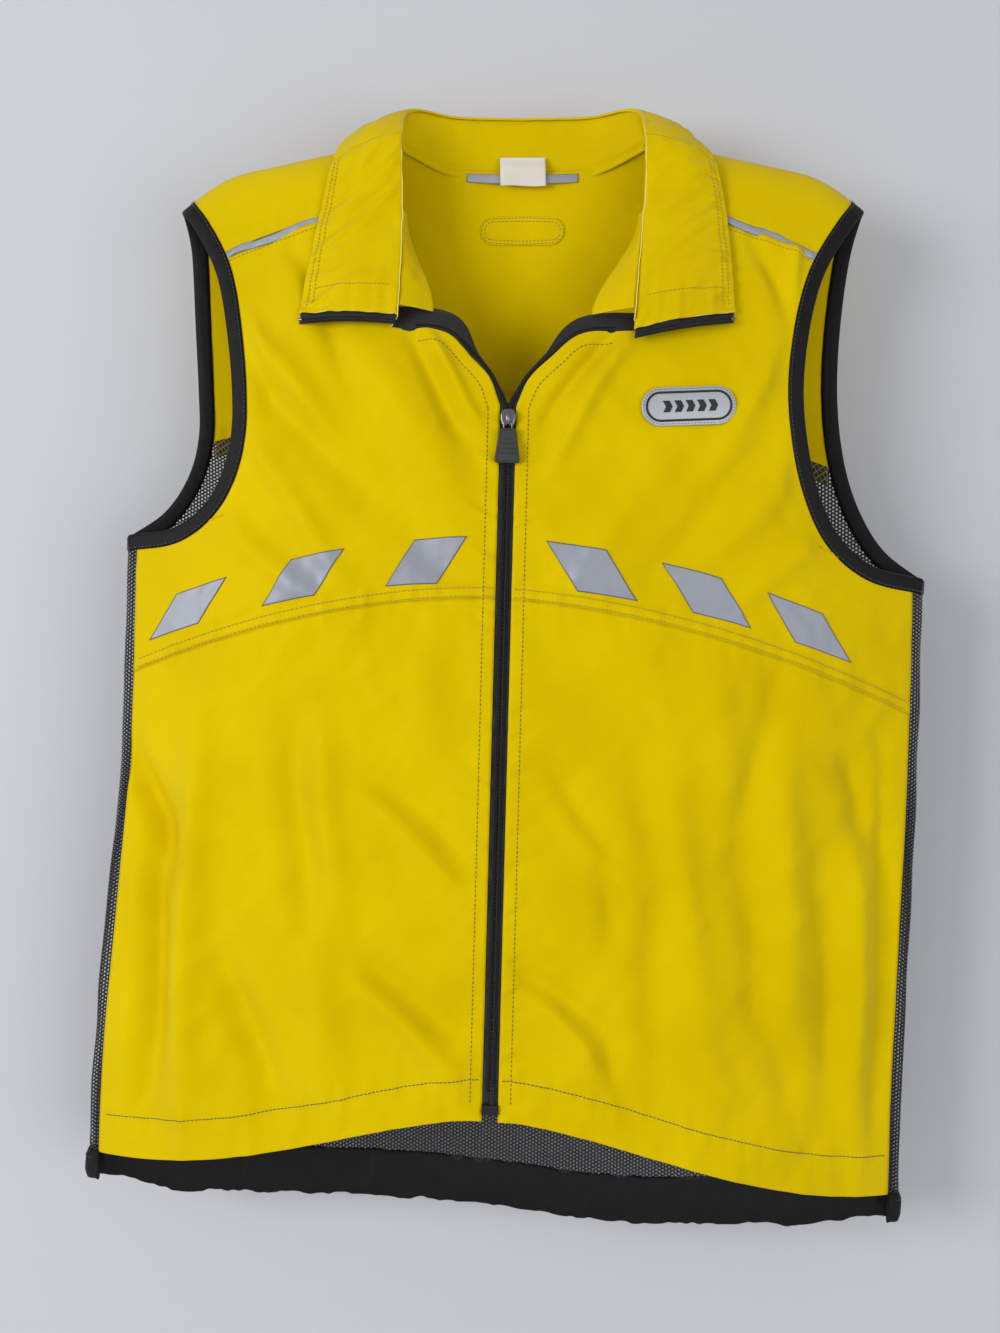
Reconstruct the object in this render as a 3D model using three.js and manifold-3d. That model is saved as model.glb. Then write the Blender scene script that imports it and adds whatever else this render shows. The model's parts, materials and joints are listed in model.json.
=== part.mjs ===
// High visibility vest, hanging by its neck. Millimetres, +Z up, the front faces -Y and the wearer's
// left is +X. The origin is the middle of the back neck seam, where the hang loop is sewn in.
import * as THREE from 'three';
import Module from 'manifold-3d';
import { mergeVertices } from 'three/addons/utils/BufferGeometryUtils.js';

// ---- driving dimensions ----
const HALF_CHEST = 264;          // half width of the body, laid flat
const EDGE_RADIUS = 6;           // half thickness where the body turns at its sides
const HANG_PLANE = -20;          // y of the plane that the shoulders hang in
const FRONT_DEPTH = 45;          // front of the body ahead of the hang plane
const FRONT_DEPTH_TOP = 18;
const BACK_DEPTH = 28;           // back of the body behind the hang plane
const BACK_DEPTH_TOP = 20;
const LENS_POWER = 2.6;          // how flat the front and back are across the middle
const SHOULDER_CAP = 28;         // height over which a shoulder rounds over the top
const NECK_HALF = 80;            // half width of the neckline at the shoulders
const NECK_POINT = 13;           // height of the neckline at the shoulders
const SHOULDER_HALF = 221;
const SHOULDER_SLOPE = 0.215;
const SHOULDER_END_DROP = 17;
const ARMHOLE_DEPTH = 258;       // neck seam down to the armpit
const FRONT_ARMHOLE_HALF = 183;  // narrowest half width across the chest
const BACK_ARMHOLE_HALF = 213;
const NECK_DROP = 118;           // neck seam down to the collar's front corners
const SLIDER_DROP = 167;         // neck seam down to the slider, where the zip closes
const ARC_SEAM_DROP = 287;       // front seam at the zip
const ARC_SEAM_RISE = 62;        // how much lower that seam meets the sides
const BACK_SEAM_DROP = 154;
const BACK_SEAM_RISE = 38;
const FRONT_LENGTH = 610;        // neck seam down to the front hem at the zip
const SIDE_LENGTH = 655;         // neck seam down to the front hem at the sides
const BACK_BAND_TOP = 656;
const BACK_BAND_SAG = { depth: 9, middle: 85, width: 80 };  // its gathers droop to the wearer's left
const BACK_BAND_HEIGHT = 30;
const SIDE_MARGIN = 8;           // how far the mesh comes round the sides to the front
const CLOTH = 0.8;               // thickness of every cloth layer
const GAP = 0.3;                 // between pieces that touch
const PLY = 0.6;                 // between layers that lie on each other
const BINDING_WIDTH = 10;
const BINDING_GAP = 1.2;         // beside the binding, whose ring is cut finer than the panels
const CURVE_SLACK = 3;           // more of it under the arm, where straight facets meet a tight curve
const PIPING_WIDTH = 5;
const HEM_DEPTH = 25;
const ZIP_HALF = 5;              // half of the black strip that shows
const TAPE_REACH = 12;           // how far each tape goes under its front
const COIL_WIDTH = 2.2;
const COIL_INNER = 0.8;
const COIL_THICK = 1.6;
const COLLAR_STAND = 36;         // height of the fold above the back neck seam
const COLLAR_FALL = 42;          // depth of the part turned down behind
const FOLD_STANDOFF = 9;         // fold's height above the chest
const WING_WIDTH = 60;
const WING_TIP = 110;            // neck seam down to the wing's tip
const REFLECTOR = { width: 42, height: 40, lean: 17 };
const BADGE = { width: 60, height: 24, thick: 1.2 };
const LOOP = { span: 74, width: 6, bulge: 8 };
const LABEL = { width: 30, height: 20 };
const PATCH = { width: 56, height: 19 };

// ---- how it hangs: the lower body drifts and tilts to the wearer's right ----
const SWAY = { drift: 10, slope: 0.0263, tilt: 0.054, turnRight: 0.075, turnLeft: 0.03 };

const smooth = (from, to, value) => {
  const t = THREE.MathUtils.clamp((value - from) / (to - from), 0, 1);
  return t * t * (3 - 2 * t);
};
const mix = THREE.MathUtils.lerp;

const drift = (z) => -SWAY.drift * smooth(-30, -175, z) - SWAY.slope * Math.max(0, -z - 175);
const turned = (z) => smooth(-60, -230, z) * (1 - 0.75 * smooth(-350, -640, z));

function hang(x, y, z) {
  const side = x < 0 ? -SWAY.turnRight : SWAY.turnLeft;
  const middle = smooth(0, 90, Math.abs(x));
  const across = x * (1 + side * turned(z) * middle) + drift(z);
  return new THREE.Vector3(across, y, z - x * SWAY.tilt * smooth(-40, -260, z));
}

// ---- the body: a lens in section, capped over the shoulders and round the sides ----
const shoulderTop = (x) => {
  const out = Math.abs(x);
  const end = Math.max(0, (out - 178) / (SHOULDER_HALF - 178));
  return NECK_POINT - SHOULDER_SLOPE * (out - NECK_HALF) - SHOULDER_END_DROP * end * end;
};

function bodyMid(side, x, z) {
  const full = side < 0
    ? mix(FRONT_DEPTH_TOP, FRONT_DEPTH, smooth(0, -160, z))
    : mix(BACK_DEPTH_TOP, BACK_DEPTH, smooth(0, -220, z));
  const flank = HALF_CHEST - EDGE_RADIUS;
  const out = Math.abs(x);
  let depth = EDGE_RADIUS + (full - EDGE_RADIUS) * (1 - Math.min(1, out / flank) ** LENS_POWER);
  if (out > flank) depth = Math.sqrt(Math.max(0, EDGE_RADIUS ** 2 - (out - flank) ** 2));
  const u = THREE.MathUtils.clamp((shoulderTop(x) - z) / SHOULDER_CAP, 0, 1);
  return hang(x, HANG_PLANE + side * depth * Math.sqrt(1 - (1 - u) ** 2), z);
}

// Point at height h outside the middle of the cloth; the outward normal comes from small steps.
function body(side, x, z, h = 0) {
  const point = bodyMid(side, x, z);
  if (h === 0) return point;
  const step = 0.5;
  const across = bodyMid(side, x + step, z).sub(bodyMid(side, x - step, z));
  const up = bodyMid(side, x, z + step).sub(bodyMid(side, x, z - step));
  const normal = across.cross(up).normalize();
  if (normal.y * side < 0) normal.negate();
  return point.addScaledVector(normal, h);
}

// Over a shoulder: s is the way round from the top, negative in front.
const CAP_ARC = 34;
function overShoulder(x, s, h = 0) {
  const around = Math.min(1, Math.abs(s) / CAP_ARC) * Math.PI / 2;
  const z = shoulderTop(x) - SHOULDER_CAP * (1 - Math.cos(around)) - Math.max(0, Math.abs(s) - CAP_ARC);
  const mid = (value) => {
    const turn = THREE.MathUtils.clamp(value / CAP_ARC, -1, 1) * Math.PI / 2;
    const low = shoulderTop(x) - SHOULDER_CAP * (1 - Math.cos(turn)) - Math.max(0, Math.abs(value) - CAP_ARC);
    return bodyMid(value < 0 ? -1 : 1, x, low);
  };
  if (h === 0) return bodyMid(s < 0 ? -1 : 1, x, z);
  const along = mid(s + 1).sub(mid(s - 1));
  const across = bodyMid(s < 0 ? -1 : 1, x + 0.5, z).sub(bodyMid(s < 0 ? -1 : 1, x - 0.5, z));
  const normal = across.cross(along).normalize();
  return mid(s).addScaledVector(normal, h);
}
const shoulderWay = (x, z) => {
  const drop = shoulderTop(x) - z;
  if (drop >= SHOULDER_CAP) return CAP_ARC + drop - SHOULDER_CAP;
  return CAP_ARC * Math.acos(1 - drop / SHOULDER_CAP) / (Math.PI / 2);
};

// Round the body at level z: r runs from the middle of the back outwards, and past the side seam's
// turn comes back along the front.
function aroundSide(sign, r, z, h = 0) {
  const flank = HALF_CHEST - EDGE_RADIUS;
  const turn = Math.PI * EDGE_RADIUS;
  const mid = (value, level) => {
    if (value <= flank) return bodyMid(1, sign * value, level);
    if (value >= flank + turn) return bodyMid(-1, sign * (2 * flank + turn - value), level);
    const angle = (value - flank) / EDGE_RADIUS;
    const x = flank + EDGE_RADIUS * Math.sin(angle);
    return hang(sign * x, HANG_PLANE + EDGE_RADIUS * Math.cos(angle), level);
  };
  const point = mid(r, z);
  if (h === 0) return point;
  const along = mid(r + 1, z).sub(mid(r - 1, z));
  const up = mid(r, z + 0.5).sub(mid(r, z - 0.5));
  return point.addScaledVector(up.cross(along).normalize().multiplyScalar(sign), h);
}

// ---- seams and edges, as (x, z) on the cloth ----
const arcSeam = (x) => -ARC_SEAM_DROP - ARC_SEAM_RISE * (Math.abs(x) / HALF_CHEST) ** 1.8;
const backSeam = (x) => -BACK_SEAM_DROP - BACK_SEAM_RISE * (Math.abs(x) / BACK_ARMHOLE_HALF) ** 2;
const frontHem = (x) => {
  const u = THREE.MathUtils.clamp((Math.abs(x) - 10) / 240, 0, 1);
  return -FRONT_LENGTH - (SIDE_LENGTH - FRONT_LENGTH) * Math.sin(u * Math.PI / 2) ** 1.5;
};
const pipingSeam = (x) => -34 - 36 * (Math.max(0, Math.abs(x) - NECK_HALF) / 120) ** 1.6;
const backNeck = (x) => NECK_POINT * (Math.abs(x) / NECK_HALF) ** 4;

const curve2 = (points) => new THREE.CatmullRomCurve3(points.map(([x, z]) => new THREE.Vector3(x, 0, z)), false, 'centripetal');
const tipZ = shoulderTop(SHOULDER_HALF);
const frontArmhole = curve2([
  [SHOULDER_HALF, tipZ], [SHOULDER_HALF - 12, -50], [FRONT_ARMHOLE_HALF + 10, -80],
  [FRONT_ARMHOLE_HALF + 1, -125], [FRONT_ARMHOLE_HALF, -165], [FRONT_ARMHOLE_HALF + 7, -205],
  [FRONT_ARMHOLE_HALF + 22, -235], [FRONT_ARMHOLE_HALF + 45, -252], [HALF_CHEST, -ARMHOLE_DEPTH]]);
const backArmhole = curve2([
  [SHOULDER_HALF, tipZ], [SHOULDER_HALF - 5, -60], [BACK_ARMHOLE_HALF, -100],
  [BACK_ARMHOLE_HALF, -150], [BACK_ARMHOLE_HALF + 4, -188], [BACK_ARMHOLE_HALF + 13, -216],
  [BACK_ARMHOLE_HALF + 28, -240], [HALF_CHEST, -ARMHOLE_DEPTH]]);

// Point on an armhole curve, moved into the cloth by inset.
function armholePoint(curve, t, inset) {
  const p = curve.getPoint(t);
  const d = curve.getTangent(t);
  return [p.x + d.z * inset, p.z - d.x * inset];
}
// t where a curve, moved by inset, crosses a seam z = seam(x)
function crossing(curve, inset, seam) {
  let low = 0.05;
  let high = 0.95;
  for (let n = 0; n < 40; n += 1) {
    const t = (low + high) / 2;
    const [x, z] = armholePoint(curve, t, inset);
    if (z > seam(x)) low = t; else high = t;
  }
  return low;
}

// ---- mesh makers ----
const materials = {
  nylon: { color: 0xd6bf0c, roughness: 0.55 },
  mesh: { color: 0x1c1c1e, roughness: 0.85 },
  black: { color: 0x161518, roughness: 0.6 },
  film: { color: 0x9598a4, roughness: 0.35 },
  coil: { color: 0x1a1715, roughness: 0.5 },
  metal: { color: 0x8a8a8c, roughness: 0.3, metalness: 1 },
  rubber: { color: 0x2a2a26, roughness: 0.7 },
  label: { color: 0xe0d8c8, roughness: 0.8 },
};
const vest = new THREE.Group();

function addMesh(name, geometry, material) {
  geometry.computeVertexNormals();
  const mesh = new THREE.Mesh(geometry, new THREE.MeshStandardMaterial(materials[material]));
  mesh.name = name;
  vest.add(mesh);
  return mesh;
}

// A sheet between two heights over surface(i, j, h); keep(i, j) drops cells, and their edges are closed.
function sheet(surface, columns, rows, low, high, keep = () => true) {
  const corners = new Map();
  const positions = [];
  const index = [];
  const at = (i, j, level) => {
    const key = `${i},${j},${level}`;
    if (!corners.has(key)) {
      const p = surface(i / columns, j / rows, level ? high : low);
      corners.set(key, positions.length / 3);
      positions.push(p.x, p.y, p.z);
    }
    return corners.get(key);
  };
  const inside = (i, j) => i >= 0 && j >= 0 && i < columns && j < rows && keep(i, j);
  const quad = (a, b, c, d) => index.push(a, b, c, a, c, d);
  for (let i = 0; i < columns; i += 1) {
    for (let j = 0; j < rows; j += 1) {
      if (!inside(i, j)) continue;
      quad(at(i, j, 1), at(i + 1, j, 1), at(i + 1, j + 1, 1), at(i, j + 1, 1));
      quad(at(i, j, 0), at(i, j + 1, 0), at(i + 1, j + 1, 0), at(i + 1, j, 0));
      const wall = (i0, j0, i1, j1) => quad(at(i0, j0, 0), at(i1, j1, 0), at(i1, j1, 1), at(i0, j0, 1));
      if (!inside(i, j - 1)) wall(i, j, i + 1, j);
      if (!inside(i + 1, j)) wall(i + 1, j, i + 1, j + 1);
      if (!inside(i, j + 1)) wall(i + 1, j + 1, i, j + 1);
      if (!inside(i - 1, j)) wall(i, j + 1, i, j);
    }
  }
  return outward(positions, index);
}

// End faces of the eight-cornered trough section, which is open at the top.
const TROUGH_CAP = [[0, 1, 6], [0, 6, 7], [1, 2, 5], [1, 5, 6], [2, 3, 4], [2, 4, 5]];

// A section of points(k) carried along stations 0..count; ring closes it on itself.
function sweep(point, count, sides, ring = false) {
  const positions = [];
  const index = [];
  const stations = ring ? count : count + 1;
  for (let i = 0; i < stations; i += 1) {
    for (let k = 0; k < sides; k += 1) positions.push(...point(i / count, k).toArray());
  }
  for (let i = 0; i < count; i += 1) {
    const next = (i + 1) % stations;
    for (let k = 0; k < sides; k += 1) {
      const m = (k + 1) % sides;
      const [a, b, c, d] = [i * sides + k, next * sides + k, next * sides + m, i * sides + m];
      index.push(a, b, c, a, c, d);
    }
  }
  if (!ring) {
    const end = count * sides;
    const section = [...Array(sides).keys()];
    for (const [a, b, c] of sides === 8 ? TROUGH_CAP : section.slice(1, -1).map((k) => [0, k, k + 1])) {
      index.push(a, b, c, end + a, end + c, end + b);
    }
  }
  return outward(positions, index);
}

// Turns the faces out if the signed volume says that they point in.
function outward(positions, index) {
  const p = (n) => new THREE.Vector3().fromArray(positions, n * 3);
  let volume = 0;
  for (let n = 0; n < index.length; n += 3) {
    volume += p(index[n]).dot(p(index[n + 1]).cross(p(index[n + 2])));
  }
  if (volume < 0) {
    for (let n = 0; n < index.length; n += 3) [index[n + 1], index[n + 2]] = [index[n + 2], index[n + 1]];
  }
  const geometry = new THREE.BufferGeometry();
  geometry.setAttribute('position', new THREE.Float32BufferAttribute(positions, 3));
  geometry.setIndex(index);
  return geometry;
}

// Rectangle in a strip: corner k of a section from inner to outer edge and low to high.
const corner = (k, a, b, low, high) => [[a, low], [b, low], [b, high], [a, high]][k];

// Fills the inside of four edge curves, each a function of 0..1 that gives [x, z].
function patch(bottom, top, left, right) {
  return (u, v) => [0, 1].map((n) => (1 - v) * bottom(u)[n] + v * top(u)[n]
    + (1 - u) * left(v)[n] + u * right(v)[n]
    - (1 - u) * (1 - v) * bottom(0)[n] - u * (1 - v) * bottom(1)[n]
    - (1 - u) * v * top(0)[n] - u * v * top(1)[n]);
}
const polyline = (points) => {
  const path = new THREE.CurvePath();
  for (let n = 1; n < points.length; n += 1) {
    path.add(new THREE.LineCurve3(new THREE.Vector3(...points[n - 1], 0), new THREE.Vector3(...points[n], 0)));
  }
  return (t) => path.getPoint(t).toArray().slice(0, 2);
};

const wasm = await Module();
wasm.setup();
function solid(geometry) {
  const bare = geometry.clone();
  for (const name of ['normal', 'uv']) bare.deleteAttribute(name);
  const merged = mergeVertices(bare, 1e-4);
  return new wasm.Manifold(new wasm.Mesh({
    numProp: 3,
    vertProperties: new Float32Array(merged.attributes.position.array),
    triVerts: new Uint32Array(merged.index.array),
  }));
}
function unsolid(shape) {
  const mesh = shape.getMesh();
  const geometry = new THREE.BufferGeometry();
  geometry.setAttribute('position', new THREE.Float32BufferAttribute(mesh.vertProperties, 3));
  geometry.setIndex(new THREE.Uint32BufferAttribute(mesh.triVerts, 1));
  return geometry;
}

// Point at height h on whichever part of the body holds (x, z): shoulder, side or plain front or back.
function cloth(side, x, z, h) {
  const flank = HALF_CHEST - EDGE_RADIUS;
  if (shoulderTop(x) - z < SHOULDER_CAP && Math.abs(x) >= NECK_HALF) {
    return overShoulder(x, side * shoulderWay(x, Math.min(z, shoulderTop(x))), h);
  }
  const out = Math.min(Math.abs(x), HALF_CHEST);
  if (out < flank - 2) return body(side, x, z, h);
  const r = out <= flank ? out : flank + EDGE_RADIUS * Math.asin((out - flank) / EDGE_RADIUS);
  return aroundSide(Math.sign(x), side > 0 ? r : 2 * flank + Math.PI * EDGE_RADIUS - r, z, h);
}

const half = CLOTH / 2;
const sideSeam = HALF_CHEST - SIDE_MARGIN;
const inset = BINDING_WIDTH + BINDING_GAP;

// ---- front edge beside the zip: straight up to the slider, then out to the collar's corner ----
const zipBottom = -FRONT_LENGTH + 10;
const veeEdge = curve2([
  [ZIP_HALF, -SLIDER_DROP], [ZIP_HALF + 7, -SLIDER_DROP + 17], [ZIP_HALF + 20, -SLIDER_DROP + 31],
  [NECK_HALF - 38, -NECK_DROP - 3], [NECK_HALF - 2, -NECK_DROP]]);
const straightShare = 0.75;
function zipEdge(t) {
  if (t <= straightShare) return { x: ZIP_HALF, z: mix(zipBottom, -SLIDER_DROP, t / straightShare), nx: 1, nz: 0 };
  const u = (t - straightShare) / (1 - straightShare);
  const p = veeEdge.getPoint(u);
  const d = veeEdge.getTangent(u);
  const turn = smooth(0, 0.12, u);
  const [nx, nz] = [mix(1, d.z, turn), mix(0, -d.x, turn)];
  const length = Math.hypot(nx, nz);
  return { x: p.x, z: p.z, nx: nx / length, nz: nz / length };
}

// Strip along the front edge between two distances into the cloth.
function edgeStrip(sign, from, to, low, high, start = 0, end = 1, stations = 34) {
  return sweep((t, k) => {
    const e = zipEdge(mix(start, end, t));
    const [a, h] = corner(k, from, to, low, high);
    return body(-1, sign * (e.x + e.nx * a), e.z + e.nz * a, h);
  }, stations, 4);
}

for (const [name, sign] of [['left', 1], ['right', -1]]) {
  // front yoke
  const seamTop = (x) => pipingSeam(x) - PIPING_WIDTH - GAP;
  const tTop = crossing(frontArmhole, inset, seamTop);
  const armTop = armholePoint(frontArmhole, tTop, inset);
  const armSide = [];
  for (let n = 0; n <= 20; n += 1) {
    const [x, z] = armholePoint(frontArmhole, mix(0.985, tTop, n / 20), inset + CURVE_SLACK);
    armSide.push([Math.min(x, sideSeam - GAP / 2), z]);
  }
  const seamLow = (x) => arcSeam(x) + GAP / 2;
  const inner = [[ZIP_HALF, seamLow(ZIP_HALF)]];
  for (let n = 0; n <= 10; n += 1) inner.push([veeEdge.getPoint(n / 10).x, veeEdge.getPoint(n / 10).z]);
  inner.push([NECK_HALF, seamTop(NECK_HALF)]);
  const yoke = patch(
    (u) => { const x = mix(ZIP_HALF, sideSeam - GAP / 2, u); return [x, seamLow(x)]; },
    (u) => { const x = mix(NECK_HALF, armTop[0], u); return [x, seamTop(x)]; },
    polyline(inner), polyline([[sideSeam - GAP / 2, seamLow(sideSeam)], ...armSide]));
  const sheetOn = (side, fill, low, high, columns, rows) => sheet((u, v, h) => {
    const [x, z] = fill(u, v);
    return cloth(side, sign * x, z, h);
  }, columns, rows, low, high);
  addMesh(`front_yoke_${name}`, sheetOn(-1, yoke, -half, half, 11, 20), 'nylon');

  // front lower panel and the facing inside its hem
  const lower = (top, bottom, from, to) => (u, v) => {
    const x = mix(from, to, u);
    return [x, mix(bottom(x), top(x), v)];
  };
  addMesh(`front_lower_${name}`, sheetOn(-1,
    lower((x) => arcSeam(x) - GAP / 2, frontHem, ZIP_HALF, sideSeam - GAP / 2), -half, half, 11, 9), 'nylon');
  addMesh(`front_hem_facing_${name}`, sheetOn(-1,
    lower((x) => frontHem(x) + HEM_DEPTH, (x) => frontHem(x) - PLY, TAPE_REACH + 2, sideSeam - 4),
    -half - PLY - CLOTH, -half - PLY, 13, 1), 'nylon');

  // grey piping along the forward shoulder seam
  addMesh(`shoulder_piping_${name}`, sheetOn(-1, (u, v) => {
    const x = mix(NECK_HALF, armTop[0] - 1, u);
    return [x, mix(pipingSeam(x) - PIPING_WIDTH, pipingSeam(x), v)];
  }, -half, half + PLY, 12, 1), 'film');

  // armhole binding: one closed ring, down the front, under the arm and up the back
  const binding = sweep((t, k) => {
    const [a, h] = corner(k, 0, BINDING_WIDTH, -half - GAP, half + GAP);
    const side = t < 0.5 ? -1 : 1;
    const way = Math.min(1, side < 0 ? t * 2 : 2 - t * 2);
    if (way < 0.001) return overShoulder(sign * (SHOULDER_HALF - a), 0, h);
    if (way > 0.999) return aroundSide(sign, Math.PI * EDGE_RADIUS / 2 + HALF_CHEST - EDGE_RADIUS, -ARMHOLE_DEPTH - a, h);
    const [x, z] = armholePoint(side < 0 ? frontArmhole : backArmhole, way, a);
    return cloth(side, sign * x, z, h);
  }, 72, 4, true);
  addMesh(`armhole_binding_${name}`, binding, 'black');

  // zip tape and coil
  addMesh(`zip_tape_${name}`, edgeStrip(sign, COIL_INNER - ZIP_HALF, TAPE_REACH - ZIP_HALF,
    -half - GAP - CLOTH, -half - GAP), 'coil');
  const coilStart = name === 'left' ? 0.02 : 0;
  addMesh(`zip_coil_${name}`, edgeStrip(sign, COIL_INNER - ZIP_HALF, COIL_INNER - ZIP_HALF + COIL_WIDTH,
    -half, -half + COIL_THICK, coilStart, 0.96), 'coil');

  // reflectors on the front, along the arc seam, and on the back
  const starts = name === 'left' ? [45, 115, 179] : [43, 127, 208];
  starts.forEach((start, n) => {
    addMesh(`reflector_front_${name}_${n + 1}`, sheet((u, v, h) => {
      const x = start + REFLECTOR.width * u * 0.86 - REFLECTOR.lean * 1.15 * v;
      const foot = start + REFLECTOR.width * u * 0.86;
      return cloth(-1, sign * x, arcSeam(foot) + 7 + foot * 0.03 + REFLECTOR.height * 0.78 * v, h);
    }, 3, 3, half + GAP, half + GAP + 0.4), 'film');
  });
  [10, 80, 150].forEach((start, n) => {
    addMesh(`reflector_back_${name}_${n + 1}`, sheet((u, v, h) => {
      const foot = start + REFLECTOR.width * u * 0.86;
      return cloth(1, sign * (foot + REFLECTOR.lean * v), backSeam(foot) + 8 + REFLECTOR.height * 0.78 * v, h);
    }, 3, 3, half + GAP, half + GAP + 0.4), 'film');
  });
}

// ---- back yoke: over both shoulders and down to the back seam ----
const yokeLow = (x) => backSeam(x) + GAP / 2;
const frontEdge = (x) => pipingSeam(x) + GAP;
const tFront = crossing(frontArmhole, inset, frontEdge);
const tBack = crossing(backArmhole, inset, yokeLow);
const lobeTip = [SHOULDER_HALF - inset, 0];
const overWay = (side, [x, z]) => [x, side * shoulderWay(x, Math.min(z, shoulderTop(x)))];
const along = (curve, from, to, side) => [...Array(9).keys()].map((n) => overWay(side, armholePoint(curve, mix(from, to, n / 8), inset)));
const neckS = -shoulderWay(NECK_HALF, frontEdge(NECK_HALF));
const lobeFront = patch(
  (u) => { const x = mix(NECK_HALF, armholePoint(frontArmhole, tFront, inset)[0], u); return overWay(-1, [x, frontEdge(x)]); },
  (u) => [mix(NECK_HALF, lobeTip[0], u), 0],
  (v) => [NECK_HALF, mix(neckS, 0, v)], polyline([...along(frontArmhole, tFront, 0.05, -1), lobeTip]));
const lobeBack = patch(
  (u) => [mix(NECK_HALF, lobeTip[0], u), 0],
  (u) => { const x = mix(NECK_HALF, armholePoint(backArmhole, tBack, inset)[0], u); return overWay(1, [x, yokeLow(x)]); },
  (v) => [NECK_HALF, mix(0, shoulderWay(NECK_HALF, yokeLow(NECK_HALF)), v)],
  polyline([lobeTip, ...along(backArmhole, 0.05, tBack, 1)]));
const lobeColumns = 7;
const neckColumns = 8;
const overRows = 5;
const backRows = 10;
addMesh('back_yoke', sheet((u, v, h) => {
  const i = Math.round(u * (2 * lobeColumns + neckColumns)) - lobeColumns;
  const j = Math.round(v * (overRows + backRows)) - overRows;
  const fine = j > 0 ? (j / backRows) ** 1.4 : 0;
  if (i > 0 && i < neckColumns) {
    const x = mix(-NECK_HALF, NECK_HALF, i / neckColumns);
    return body(1, x, mix(backNeck(x), yokeLow(x), fine), h);
  }
  const sign = i <= 0 ? -1 : 1;
  const out = (i <= 0 ? -i : i - neckColumns) / lobeColumns;
  const [x, s] = j <= 0 ? lobeFront(out, 1 + j / overRows) : lobeBack(out, fine);
  return overShoulder(sign * x, s, h);
}, 2 * lobeColumns + neckColumns, overRows + backRows, -half, half,
(i, j) => j >= overRows || i < lobeColumns || i >= lobeColumns + neckColumns), 'nylon');

// ---- mesh back: below the yoke, under the arms and round both sides to the front panels ----
const flank = HALF_CHEST - EDGE_RADIUS;
const meshReach = 2 * flank + Math.PI * EDGE_RADIUS - sideSeam - GAP / 2;
const armholeFoot = armholePoint(backArmhole, tBack, inset);
function meshTop(r) {
  if (r <= armholeFoot[0]) return backSeam(r) - GAP / 2;
  let low = tBack;
  let high = 1;
  for (let n = 0; n < 30; n += 1) {
    const t = (low + high) / 2;
    if (armholePoint(backArmhole, t, inset)[0] < r) low = t; else high = t;
  }
  return armholePoint(backArmhole, low, inset)[1] - CURVE_SLACK;
}
const bandTop = (sign, r) => -BACK_BAND_TOP
  - BACK_BAND_SAG.depth * Math.exp(-(((sign * r - BACK_BAND_SAG.middle) / BACK_BAND_SAG.width) ** 2));
const ringAt = (u, reach) => {
  const stops = [0, armholeFoot[0] * 0.5, armholeFoot[0], flank - 18, flank, flank + 9, flank + 19, reach];
  const place = Math.abs(u) * (stops.length - 1);
  const n = Math.min(stops.length - 2, Math.floor(place));
  return mix(stops[n], stops[n + 1], place - n);
};
addMesh('back_mesh', sheet((u, v, h) => {
  const sign = u < 0.5 ? -1 : 1;
  const r = ringAt(2 * u - 1, meshReach);
  const top = meshTop(Math.min(r, flank));
  return aroundSide(sign, r, mix(bandTop(sign, r) - GAP, top, v), h);
}, 42, 7, -half, half), 'mesh');

const bandFoot = (sign, r) => bandTop(sign, r) - BACK_BAND_HEIGHT + 12 * smooth(200, flank, Math.min(r, flank));
const bandWall = 1.8;
addMesh('back_hem_band', sweep((t, k) => {
  const sign = t < 0.5 ? -1 : 1;
  const r = ringAt(2 * t - 1, meshReach);
  const top = bandTop(sign, r) - 2 * GAP;
  const foot = bandFoot(sign, r);
  const inner = bandWall - CLOTH;
  const [h, z] = [[-bandWall, top], [-bandWall, foot], [bandWall, foot], [bandWall, top],
    [inner, top], [inner, foot + CLOTH], [-inner, foot + CLOTH], [-inner, top]][k];
  return aroundSide(sign, r, z, h);
}, 42, 8, false), 'black');
addMesh('hem_elastic', sweep((t, k) => {
  const sign = t < 0.5 ? -1 : 1;
  const r = ringAt(2 * t - 1, meshReach);
  const [h, z] = corner(k, -0.6, 0.6, bandFoot(sign, r) + CLOTH + GAP, bandTop(sign, r) - 5);
  return aroundSide(sign, r, z, h);
}, 42, 4), 'label');

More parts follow.
